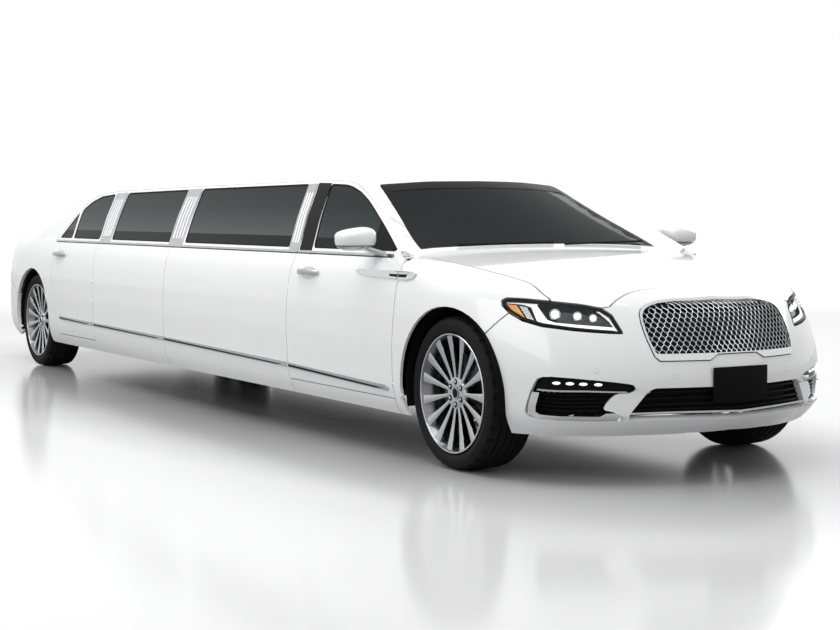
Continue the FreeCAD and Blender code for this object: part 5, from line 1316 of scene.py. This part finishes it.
def bumperTrim():
    back = sheet(nose, wholeFront(mouth["intakeBack"]), cell=(0.05, 0.03), lift=-0.05)
    piece("intake_backing", back, blackPlastic, wall=0.004)
    slats = []
    for z, reach in mouth["intakeSlats"]:
        strip = wholeFront([(0.0, z + 0.004), (-reach, z + 0.004), (-reach, z - 0.004), (0.0, z - 0.004)])
        slats.append(sheet(nose, strip, cell=(0.04, 0.01), lift=-0.018))
    piece("intake_slats", joined(*slats), blackGloss, wall=0.03)
    line = wholeFront(mouth["intakeLine"])
    piece("intake_line", sheet(nose, line, cell=(0.03, 0.008), lift=-0.0006), chrome, wall=0.02)
    fog = aroundNose(curve(mouth["fog"], 3, True))
    piece("fog_backing", sheet(nose, fog, cell=(0.03, 0.03), gap=-0.012, lift=-0.045, both=True),
          blackPlastic, wall=0.004)
    upper = filled(aroundNose(mouth["fogHousing"]), 0.03)
    piece("fog_housing", sheet(nose, upper, cell=(0.02, 0.015), gap=0.001, lift=-0.014, both=True),
          blackGloss, wall=0.03)
    lip = filled(aroundNose(mouth["fogLip"]), 0.03)
    piece("fog_lip", sheet(nose, lip, cell=(0.02, 0.015), lift=-0.006, both=True), satinChrome, wall=0.008)
    slats = []
    for k in range(5):
        z = 0.396 - k * 0.0165
        inner = np.interp(z, [0.32, 0.338, 0.396], [49.0, 51.5, 48.5])
        strip = aroundNose([(70.3, z + 0.003), (inner, z + 0.003), (inner, z - 0.003), (70.3, z - 0.003)])
        slats.append(sheet(nose, filled(strip, 0.03), cell=(0.03, 0.01), lift=-0.022))
    piece("fog_slats", twinned(joined(*slats)), blackGloss, wall=0.02)
    frameShape = filled(aroundNose(mouth["fogFrame"]), 0.02)
    piece("fog_frame", sheet(nose, frameShape, cell=(0.015, 0.012), lift=0.002, both=True), meshChrome,
          wall=0.022)
    lights = []
    for turn in mouth["fogLights"]:
        spot = aroundNose([(turn, 0.444 - (64.6 - turn) * 0.0004)])[0]
        aim = Vector(outward(noseBody, spot[None])[0])
        light = disc(0.0105, 0.002, (0, 0, 0), aim, dome=0.004)
        bmesh.ops.scale(light, vec=(1.7, 1.7, 0.62), verts=light.verts)
        bmesh.ops.translate(light, vec=Vector(spot) - aim * 0.012, verts=light.verts)
        lights.append(light)
    piece("fog_lights", twinned(joined(*lights)), lampGlow)
    sensors = []
    for y, z in mouth["sensors"]:
        spot = onFront(noseBody, [(y, z)])[0]
        aim = Vector(outward(noseBody, spot[None])[0])
        sensors.append(disc(0.011, 0.001, Vector(spot), aim, steps=24))
        sensors.append(hoop(0.0125, 0.0009, Vector(spot), aim))
    piece("parking_sensors", twinned(joined(*sensors)), brightTrim)
    plate = eased(block((0.005, 0.305, 0.152), (4.0735, 0.0, 0.432)), 0.0015)
    screws = [disc(0.0045, 0.0008, Vector((4.0758, y, z)), (1, 0, 0), steps=12)
              for y in (-0.089, 0.089) for z in (0.492, 0.372)]
    piece("front_plate", plate, blackPlate, sharp=30)
    piece("front_plate_screws", joined(*screws), blackGloss)
    bracket = eased(block((0.03, 0.24, 0.12), (4.055, 0.0, 0.432)), 0.004)
    piece("front_plate_bracket", bracket, blackPlastic)


def rearTrim():
    rim = aroundTail(tailRim)
    piece("tail_lamp_lenses", sheet(tailTurn, rim, cell=(0.015, 0.012), gap=0.003, lift=0.0, both=True),
          tailRed, wall=0.02, stands=["tail_lamps"])
    lines = []
    for k in range(3):
        strip = aroundTail([(76 - k * 3, 0.874 - k * 0.03), (56, 0.876 - k * 0.036), (56, 0.870 - k * 0.036),
                            (75.6 - k * 3, 0.868 - k * 0.03)])
        lines.append(sheet(tailTurn, filled(strip, 0.03), cell=(0.02, 0.01), lift=0.0012))
    piece("tail_lamp_bars", twinned(joined(*lines)), tailGlow, wall=0.003)
    slot = onBack(softened(rearSlot, 0.03))
    piece("rear_valance", sheet(tail, slot, cell=(0.04, 0.03), gap=-0.01, lift=-0.035), blackPlastic,
          wall=0.004)
    fins = [eased(block((0.05, 0.006, 0.09), (-4.035, y, 0.322)), 0.0015) for y in (-0.24, -0.08, 0.08, 0.24)]
    piece("rear_fins", joined(*fins), blackGloss)
    tips = []
    for y in (-0.46, 0.46):
        tip = turned([(0.0, 0.036), (0.0, 0.040), (0.09, 0.040), (0.09, 0.036)], axis="X", steps=40,
                     close=True)
        bmesh.ops.scale(tip, vec=(1, 1.7, 1), verts=tip.verts)
        bmesh.ops.translate(tip, vec=(-4.0, y, 0.318), verts=tip.verts)
        tips.append(tip)
    piece("exhaust_finishers", joined(*tips), chrome)
    bar = onBack([(-0.44, 0.884), (0.44, 0.884), (0.44, 0.872), (-0.44, 0.872)])
    piece("boot_bar", sheet(tail, filled(bar, 0.04), cell=(0.04, 0.01), lift=0.005), chrome, "boot_lid",
          wall=0.008)
    plate = onBack(softened([(-0.152, 0.748), (-0.152, 0.858), (0.152, 0.858), (0.152, 0.748)], 0.008))
    piece("rear_plate", sheet(tail, plate, cell=(0.05, 0.03), lift=-0.012), blackPlate, "boot_lid",
          wall=0.004)
    mark = aroundTail([(70, 0.408), (60, 0.402), (60, 0.392), (70, 0.398)])
    piece("rear_reflectors", sheet(tailTurn, filled(mark, 0.03), cell=(0.02, 0.01), lift=0.002, both=True),
          tailRed, wall=0.004)


# chrome lines, handles and vents as x, z on the side
trim = {
    "sillLine": {"front": [(2.640, 0.333), (1.556, 0.360)], "ahead": [(1.532, 0.361), (-0.206, 0.385)],
                 "behind": [(-0.228, 0.385), (-1.506, 0.398)], "rear": [(-1.534, 0.398), (-2.236, 0.407)]},
    "sillHeight": 0.026,
    "handles": [(1.766, 0.862, "front_door_"), (-2.270, 0.868, "rear_door_")],
    "spear": {"door": [(2.277, 0.886), (2.322, 0.896), (2.442, 0.894), (2.703, 0.895), (2.701, 0.857),
                       (2.430, 0.861), (2.307, 0.873)],
              "wing": [(2.712, 0.8945), (2.829, 0.894), (2.871, 0.886), (2.851, 0.865), (2.795, 0.855),
                       (2.711, 0.856)]},
    "slot": {"door": [(2.622, 0.8785), (2.7025, 0.8795), (2.7015, 0.866), (2.633, 0.868)],
             "wing": [(2.7125, 0.8795), (2.797, 0.881), (2.784, 0.866), (2.712, 0.866)]},
    "belt": {"front_door_": (1.560, 2.600), "shell": (-1.545, 1.549), "rear_door_": (-2.470, -1.555)},
    "beltLow": 0.9585, "beltHigh": 0.9705,
    "sail": [(2.362, 0.987), (2.566, 0.987), (2.580, 0.996), (2.466, 1.050), (2.312, 1.121)],
    "divider": [(2.338, 0.987), (2.361, 0.987), (2.311, 1.1215), (2.288, 1.131)],
}


def sideTrim():
    t = trim
    bodies = {"front": "front_door_", "ahead": "shell", "behind": "shell", "rear": "rear_door_"}
    high = t["sillHeight"]
    for name, left in bothSides:
        for where, (a, b) in t["sillLine"].items():
            body = bodies[where] if bodies[where] == "shell" else bodies[where] + name
            lean = 0.012 if where == "front" else 0.0
            loop = [(a[0] - lean, a[1] - high / 2), (a[0], a[1]), (a[0] - lean * 3, a[1] + high / 2),
                    (b[0], b[1] + high / 2), (b[0], b[1] - high / 2)]
            if where == "rear":
                loop = [(a[0], a[1] - high / 2), (a[0], a[1] + high / 2), (b[0] + 0.02, b[1] + high / 2),
                        (b[0], b[1]), (b[0] + 0.02, b[1] - high / 2)]
            strip = patch(side, loop, cell=(0.15, 0.006), lift=0.007)
            piece("sill_line_{}_{}".format(where, name), strip, chrome, body, 0.009, left=left)
            mid = [(a[0] - 0.12, a[1] - 0.0075), (a[0] - 0.03, a[1] - 0.0020), (b[0] + 0.01, b[1] + 0.0035),
                   (b[0] + 0.01, b[1] - 0.0075)]
            piece("sill_groove_{}_{}".format(where, name), patch(side, mid, cell=(0.15, 0.006), lift=0.0076),
                  blackGloss, body, 0.002, left=left)
        for x, z, carrier in t["handles"]:
            handle(x, z, carrier + name, left)
        for where, carrier in (("door", "front_door_" + name), ("wing", "shell")):
            surface = side if where == "door" else noseSide
            loop = onto(surface, filled(t["spear"][where]))
            piece("spear_{}_{}".format(where, name), sheet(surface, loop, cell=(0.03, 0.006), lift=0.006),
                  meshChrome, carrier, 0.008, left=left)
            dark = onto(surface, filled(t["slot"][where]))
            slot = sheet(surface, dark, cell=(0.03, 0.006), lift=0.0066)
            piece("spear_slot_{}_{}".format(where, name), slot, blackGloss, carrier, 0.002, left=left)
    for name, left in bothSides:
        for carrier, (rear, front) in t["belt"].items():
            loop = [(rear, t["beltLow"]), (front, t["beltLow"]), (front - 0.01, t["beltHigh"]),
                    (rear, t["beltHigh"])]
            strip = patch(houseSide, loop, cell=(0.12, 0.006), lift=0.005)
            body = carrier if carrier == "shell" else carrier + name
            piece("belt_line_{}{}".format(carrier.strip("_"), name), strip, chrome, body, 0.008,
                  left=left)
    for name, left in bothSides:
        sail = patch(houseSide, t["sail"], cell=(0.03, 0.015), lift=0.0)
        piece("mirror_sail_" + name, sail, blackGloss, "front_door_" + name, 0.006, left=left)
        bar = patch(houseSide, t["divider"], cell=(0.03, 0.015), lift=0.0005)
        piece("window_divider_" + name, bar, rubberBlack, "front_door_" + name, 0.006, left=left)


def doorShoulders():
    # closes the top of each front door's skin ahead of its window
    for name, left in bothSides:
        cap = eased(block((0.125, 0.0425, 0.006), (2.6455, -0.8705, 0.9555)), 0.0025)
        piece("door_shoulder_" + name, cap, bodyPaint, "front_door_" + name, left=left)


grip = {"half": 0.118, "stand": 0.006, "bow": 0.028, "thick": (0.013, 0.004), "rise": 0.004,
        "deep": (0.020, 0.010), "cup": (0.088, 0.034), "cupDrop": 0.004, "cupSteps": 28}


def handle(x, z, body, left):
    g = grip
    y = onto(side, [(x, z)])[0][1]
    bar = slicedBar(0, 9)
    for v in bar.verts:
        s = v.co.x * 2
        bow = 1 - abs(s) ** 2.6
        v.co = (x + s * g["half"],
                y - g["stand"] - g["bow"] * bow + v.co.y * (g["thick"][0] + g["thick"][1] * bow),
                z + g["rise"] * (1 - s * s) + v.co.z * (g["deep"][0] + g["deep"][1] * bow))
    piece("handle_" + body, eased(bar, 0.003), chrome, body, left=left, soft=1, sharp=60)
    # the recess behind the handle, drawn as a flat oval of painted shade on the door
    line = []
    for k in range(g["cupSteps"]):
        turn = math.tau * k / g["cupSteps"]
        line.append((x + g["cup"][0] * math.cos(turn), z - g["cupDrop"] + g["cup"][1] * math.sin(turn)))
    plate = sheet(side, onto(side, line), cell=(0.03, 0.01), lift=0.0012)
    piece("handle_cup_" + body, plate, cupPaintedShade, body, 0.002, left=left)


mirrorSizes = {"x": 2.42, "y": -1.008, "z": 1.052, "half": (0.080, 0.098, 0.066), "corner": 3.2,
               "slim": 0.12, "slope": 0.50, "crown": 0.08, "tuck": 0.18, "slotDrop": 0.038}
mirrorArm = {"x": 0.012, "sweep": 0.02, "long": (0.062, 0.028), "root": -0.985, "reach": 0.118, "z": 1.012,
             "drop": 0.046, "thick": (0.020, 0.010)}


def doorMirrors():
    m, a = mirrorSizes, mirrorArm
    for name, left in bothSides:
        body = "front_door_" + name
        cap = bmesh.new()
        bmesh.ops.create_cube(cap, size=2.0)
        bmesh.ops.subdivide_edges(cap, edges=cap.edges[:], cuts=5, use_grid_fill=True)
        for v in cap.verts:
            p = np.array(v.co)
            ball = p / (np.abs(p) ** m["corner"]).sum() ** (1 / m["corner"])
            out = (1 - ball[1]) / 2
            ahead = max(0.0, ball[0])
            top = 1.0 - m["slope"] * out * (ball[2] > 0) - m["crown"] * (1 - out) * (ball[2] > 0)
            v.co = (m["x"] + ball[0] * m["half"][0] * (1.0 - m["slim"] * out),
                    m["y"] + ball[1] * m["half"][1],
                    m["z"] + ball[2] * m["half"][2] * top * (1 - m["tuck"] * ahead))
        bmesh.ops.recalc_face_normals(cap, faces=cap.faces)
        low = cap.copy()
        level = m["z"] - m["slotDrop"]
        bmesh.ops.bisect_plane(cap, geom=cap.verts[:] + cap.edges[:] + cap.faces[:], plane_co=(0, 0, level),
                               plane_no=(0, 0, -1), clear_outer=True)
        bmesh.ops.bisect_plane(low, geom=low.verts[:] + low.edges[:] + low.faces[:],
                               plane_co=(0, 0, level - 0.004), plane_no=(0, 0, 1), clear_outer=True)
        piece("mirror_cap_" + name, cap, bodyPaint, body, 0.002, left=left,
              stands=["door_mirror_" + name])
        piece("mirror_base_" + name, low, satinChrome, body, 0.002, left=left)
        inner = eased(block((0.085, 0.130, 0.012), (m["x"], m["y"] + 0.008, level - 0.002)), 0.003)
        piece("mirror_slot_" + name, inner, blackGloss, body, left=left)
        glass = eased(block((0.004, 0.136, 0.060), (m["x"] - 0.0765, m["y"] + 0.014, m["z"] - 0.006)), 0.0015)
        piece("mirror_glass_" + name, glass, mirrorGlass, body, left=left)
        arm = slicedBar(1, 7)
        for v in arm.verts:
            s = v.co.y + 0.5
            v.co = (m["x"] + a["x"] + a["sweep"] * s + v.co.x * (a["long"][0] + a["long"][1] * s),
                    a["root"] + s * a["reach"],
                    a["z"] - a["drop"] * s ** 0.8 + v.co.z * (a["thick"][0] + a["thick"][1] * s))
        piece("mirror_arm_" + name, eased(arm, 0.004), satinChrome, body, left=left, soft=1, sharp=60)


def cowl():
    # the painted panel between bonnet and windscreen, and the wipers' slot under its rear edge
    cowlSizes = {"front": 2.757, "rear": 2.600, "half": 0.840, "rise": 0.013, "flat": 0.73, "pull": 0.066}
    bm = bmesh.new()
    xs = np.linspace(cowlSizes["front"], cowlSizes["rear"], 9)
    ys = np.linspace(-cowlSizes["half"], cowlSizes["half"], 41)
    rows = []
    for i, x in enumerate(xs):
        back = i / (len(xs) - 1)
        pull = cowlSizes["pull"] * (ys / cowlSizes["half"]) ** 2 * back
        start = np.stack([x - pull, ys, np.full_like(ys, 0.6)], 1)
        top = strike(noseBody, start, np.tile([0.0, 0.0, 1.0], (len(ys), 1)))
        top[:, 2] += cowlSizes["rise"] * back ** 1.5 * (1 - ease((np.abs(ys) - cowlSizes["flat"]) / 0.07))
        rows.append([bm.verts.new(p) for p in top])
    for near, far in zip(rows, rows[1:]):
        for a, b, c, d in zip(near, near[1:], far[1:], far):
            bm.faces.new((a, b, c, d))
    bmesh.ops.recalc_face_normals(bm, faces=bm.faces)
    if sum(f.normal.z for f in bm.faces) < 0:
        bmesh.ops.reverse_faces(bm, faces=bm.faces)
    piece("cowl", bm, bodyPaint, "shell", 0.004)
    arms = []
    for y0, y1 in ((0.10, 0.66), (-0.52, 0.04)):
        line = []
        for t in np.linspace(0, 1, 9):
            y = y0 + (y1 - y0) * t
            spot = onFront(greenhouse, [(y, 1.008 + 0.008 * t)], 1.0)[0]
            line.append(spot + np.array((0.006, 0, 0.006)))
        arms.append(tube(line, 0.0055, 6))
    piece("wiper_blades", joined(*arms), rubberBlack)


def firewall():
    # the wall between engine bay and cabin, with the bonnet's hinge arms under its corners
    wall = eased(block((0.014, 1.50, 0.60), (2.722, 0, 0.650)), 0.004)
    shelf = eased(block((0.130, 1.46, 0.012), (2.690, 0, 0.944)), 0.004)
    arms = [eased(block((0.10, 0.020, 0.045), (2.735, sign * 0.62, 0.930)), 0.004) for sign in (-1, 1)]
    piece("firewall", joined(wall, shelf, *arms), linerPlastic, stands=["bulkhead"])


# seats: plain plinths and backs in the CAD solids' places, with cloth-simulated cushions on them
padSizes = {"voxel": 0.006, "pressure": 4.0, "frames": 20, "fill": 0.75, "inset": 0.012, "puff": 0.022}


def cushion(name, size, quilt=0):
    # a cover blown up from a slightly smaller rounded block, ready to be copied
    bm = bmesh.new()
    bmesh.ops.create_cube(bm, size=1.0)
    cuts = max(3, int(max(size) / 0.06))
    bmesh.ops.subdivide_edges(bm, edges=bm.edges[:], cuts=cuts, use_grid_fill=True)
    inset = padSizes["inset"]
    for v in bm.verts:
        p = np.array(v.co) * 2
        soft = p / max((np.abs(p) ** 7).sum() ** (1 / 7), 1e-6)
        dent = 1.0
        if quilt:
            dent -= 0.16 * abs(math.cos(math.pi * quilt * (p[1] + 1) / 2)) ** 10 * (p[2] > -0.2)
        v.co = [soft[i] * (size[i] / 2 - inset) * (dent if i == 2 else 1) for i in range(3)]
    thing = asObject(name + "_cover", bm)
    remesh = thing.modifiers.new("remesh", "REMESH")
    remesh.mode = "VOXEL"
    remesh.voxel_size = padSizes["voxel"] * (1.0 + max(size))
    thing = asObject(name + "_cover", evaluated(thing))
    cloth = thing.modifiers.new("cloth", "CLOTH")
    cloth.settings.quality = 5
    cloth.settings.mass = 0.3
    cloth.settings.tension_stiffness = 18
    cloth.settings.compression_stiffness = 18
    cloth.settings.bending_stiffness = 0.6
    cloth.settings.use_pressure = True
    cloth.settings.uniform_pressure_force = padSizes["pressure"]
    cloth.settings.effector_weights.gravity = 0
    cloth.point_cache.frame_start = 1
    cloth.point_cache.frame_end = padSizes["frames"]
    rest = np.array([v.co[:] for v in thing.data.vertices])
    for frameNumber in range(1, padSizes["frames"] + 1):
        bpy.context.scene.frame_set(frameNumber)
    grown = evaluated(thing)
    now = np.array([v.co[:] for v in grown.verts])
    push = now - rest
    length = np.linalg.norm(push, axis=1, keepdims=True)
    push *= np.minimum(1.0, padSizes["puff"] / np.maximum(length, 1e-9))
    now = rest + push
    for v, p in zip(grown.verts, now):
        v.co = p
    bpy.context.scene.frame_set(1)
    return grown


def placed(shape, matrix):
    bm = shape.copy()
    bmesh.ops.transform(bm, matrix=matrix, verts=bm.verts)
    return bm


def pad(name, shape, place, turn=0.0, spin=0.0, stands=()):
    # lays a copy of a finished cushion at place, leaned by turn about y and turned by spin about z
    matrix = Matrix.Translation(place) @ Matrix.Rotation(spin, 4, "Z") @ Matrix.Rotation(turn, 4, "Y")
    thing = piece(name, placed(shape, matrix), leather, stands=stands, sharp=60)
    return thing


cabin = {"floor": 0.292, "seatY": 0.370, "backLean": math.radians(-17.0)}


def seats():
    c = cabin
    base = cushion("front_base", (0.455, 0.515, 0.150), quilt=2)
    back = cushion("front_back", (0.115, 0.500, 0.640))
    head = cushion("headrest", (0.095, 0.262, 0.172))
    for name, sign in (("right", -1), ("left", 1)):
        y = sign * c["seatY"]
        plinth = eased(block((0.40, 0.46, 0.195), (1.462, y, c["floor"] + 0.099)), 0.012)
        piece("seat_plinth_" + name, plinth, blackPlastic)
        shell = eased(block((0.022, 0.46, 0.60), (0, 0, 0)), 0.008)
        lean = Matrix.Translation((1.026, y, 0.800)) @ Matrix.Rotation(c["backLean"], 4, "Y")
        bmesh.ops.transform(shell, matrix=lean, verts=shell.verts)
        piece("seat_shell_" + name, shell, blackPlastic)
        posts = [tube([(0.990, y + o, 1.10), (0.965, y + o, 1.20)], 0.007) for o in (-0.06, 0.06)]
        piece("headrest_posts_" + name, joined(*posts), satinChrome)
        pad("seat_cushion_" + name, base, (1.472, y, 0.566), math.radians(-3),
            stands=["front_seats"] if sign < 0 else ())
        pad("seat_back_" + name, back, (1.092, y, 0.822), c["backLean"])
        pad("headrest_" + name, head, (0.970, y, 1.228), math.radians(-6))
        rails = eased(block((0.30, 0.03, 0.02), (1.46, y, c["floor"] + 0.010)), 0.003)
        piece("seat_rail_" + name, rails, castIron)
    sideCushion = cushion("bench_cushion", (0.43, 0.700, 0.168))
    sideBack = cushion("bench_back", (0.098, 0.700, 0.245))
    for k in range(3):
        x = -1.130 + k * 0.710
        pad("side_bench_cushion_{}".format(k), sideCushion, (x, -0.582, 0.612), spin=math.radians(90),
            stands=["cabin_benches"] if k == 0 else ())
        pad("side_bench_back_{}".format(k), sideBack, (x, -0.752, 0.815), spin=math.radians(90))
    rearCushion = cushion("rear_cushion", (0.565, 0.450, 0.178))
    rearBack = cushion("rear_back", (0.110, 0.368, 0.430))
    for k in range(3):
        pad("rear_bench_cushion_{}".format(k), rearCushion, (-2.078, (k - 1) * 0.452, 0.596))
        pad("rear_bench_back_{}".format(k), rearBack, (-2.545, (k - 1) * 0.370, 0.722), math.radians(-32))
    plinths = [eased(block((2.12, 0.39, 0.238), (-0.42, -0.602, c["floor"] + 0.120)), 0.01),
               eased(block((0.52, 1.27, 0.218), (-2.095, 0, c["floor"] + 0.110)), 0.01)]
    piece("bench_plinths", joined(*plinths), cabinTrim)


# The finishes of the CAD solids that stay as they are.
interior = {"floor_pan": carpet, "wheel_liners": linerPlastic, "front_subframe": castIron,
            "rear_subframe": castIron, "engine_block": castIron, "exhaust": brushedSteel,
            "driveshaft": brushedSteel, "fuel_tank": blackPlastic, "dashboard": cabinTrim,
            "partition": cabinTrim, "front_knuckle_right": castIron, "front_knuckle_left": castIron}


# Floor, light and camera
# the long and wide sizes set the shadow painted on the floor round the car
studio = {"eye": (9.549, -4.857, 1.175), "look": (-0.859, 0.508, -0.0618), "lens": 71.16, "floor": 60.0,
          "fill": 0.62, "near": 8.0, "far": 24.0, "bounce": (0.34, 0.34, 0.345),
          "paintedShadowLong": 4.7, "paintedShadowWide": 1.7, "key": 320.0, "sideLight": 150.0}


def studioStage():
    floor = bmesh.new()
    bmesh.ops.create_grid(floor, x_segments=1, y_segments=1, size=studio["floor"])
    floor = asObject("studio_floor", floor)
    f = Finish("studioFloor")
    drift = f.noise(0.35)
    seen = f.node("ShaderNodeLightPath")
    x, y = f.axes()[:2]
    far = ((x * x + y * y) - studio["near"] ** 2) / (studio["far"] ** 2 - studio["near"] ** 2)
    pale = f.mix(drift, (0.80, 0.80, 0.805), (0.90, 0.90, 0.905))
    # painted shadow round the car, on top of the shadow the lights cast: an ellipse of floor darkened towards
    # grey, fading out with a little noise
    ring = (x / studio["paintedShadowLong"]) ** 2.0 + (y / studio["paintedShadowWide"]) ** 2.0
    paintedShadowFade = (ring * 0.8 - 0.25 + f.noise(1.1) * 0.12).clipped()
    pale = f.mix(paintedShadowFade, (0.30, 0.30, 0.305), pale)
    f.set(Base_Color=f.mix(seen, studio["bounce"], pale), Roughness=drift * 0.08 + 0.10,
          Specular_IOR_Level=0.5, Emission_Color=f.mix(far.clipped() * seen, (0.0, 0.0, 0.0),
                                                       (1.0, 1.0, 1.0)), Emission_Strength=1.0)
    floor.data.materials.append(f.material)
    world = bpy.context.scene.world or bpy.data.worlds.new("studio")
    bpy.context.scene.world = world
    world.use_nodes = True
    tree = world.node_tree
    light = tree.nodes["Background"]
    path = tree.nodes.new("ShaderNodeLightPath")
    seen = Wire(tree, path.outputs["Is Camera Ray"]) + Wire(tree, path.outputs["Is Transmission Ray"])
    glossy = Wire(tree, path.outputs["Is Glossy Ray"])
    lit = seen + glossy
    strength = lit.sum("MINIMUM", lit, 1.0) * (1 - studio["fill"]) + studio["fill"]
    tree.links.new(strength.socket, light.inputs["Strength"])
    light.inputs["Color"].default_value = (1, 1, 1, 1)
    for name, place, size, power in (("key_light", (1.0, -2.0, 6.0), (9.0, 4.0), studio["key"]),
                                     ("side_light", (3.0, -8.0, 4.0), (9.0, 3.0), studio["sideLight"]),
                                     ("far_light", (0.0, 8.0, 4.5), (9.0, 3.0), studio["sideLight"])):
        lamp = bpy.data.lights.new(name, "AREA")
        lamp.shape = "RECTANGLE"
        lamp.size, lamp.size_y = size
        lamp.energy = power
        thing = bpy.data.objects.new(name, lamp)
        thing.location = place
        thing.rotation_euler = (Vector((0.5, 0, 0.5)) - Vector(place)).to_track_quat("-Z", "Y").to_euler()
        bpy.context.scene.collection.objects.link(thing)
    camera = bpy.data.cameras.new("camera")
    camera.lens = studio["lens"]
    eye = bpy.data.objects.new("camera", camera)
    eye.location = studio["eye"]
    eye.rotation_euler = Vector(studio["look"]).to_track_quat("-Z", "Y").to_euler()
    bpy.context.scene.collection.objects.link(eye)
    bpy.context.scene.camera = eye
    bpy.context.scene.view_settings.view_transform = "Standard"


for stage in (flanks, frontWings, bonnetSkin, frontBumper, rearQuarters, rearBumper, bootLid, roofShell,
              sideGlass, screens, pillarCovers, wheels, headLamps, grille, bumperTrim, rearTrim, sideTrim,
              doorMirrors, doorShoulders, cowl, firewall, seats):
    stage()
    print(stage.__name__, "ready")
for name, finish in interior.items():
    for holder in bpy.data.objects[name].material_slots:
        holder.material = finish
studioStage()
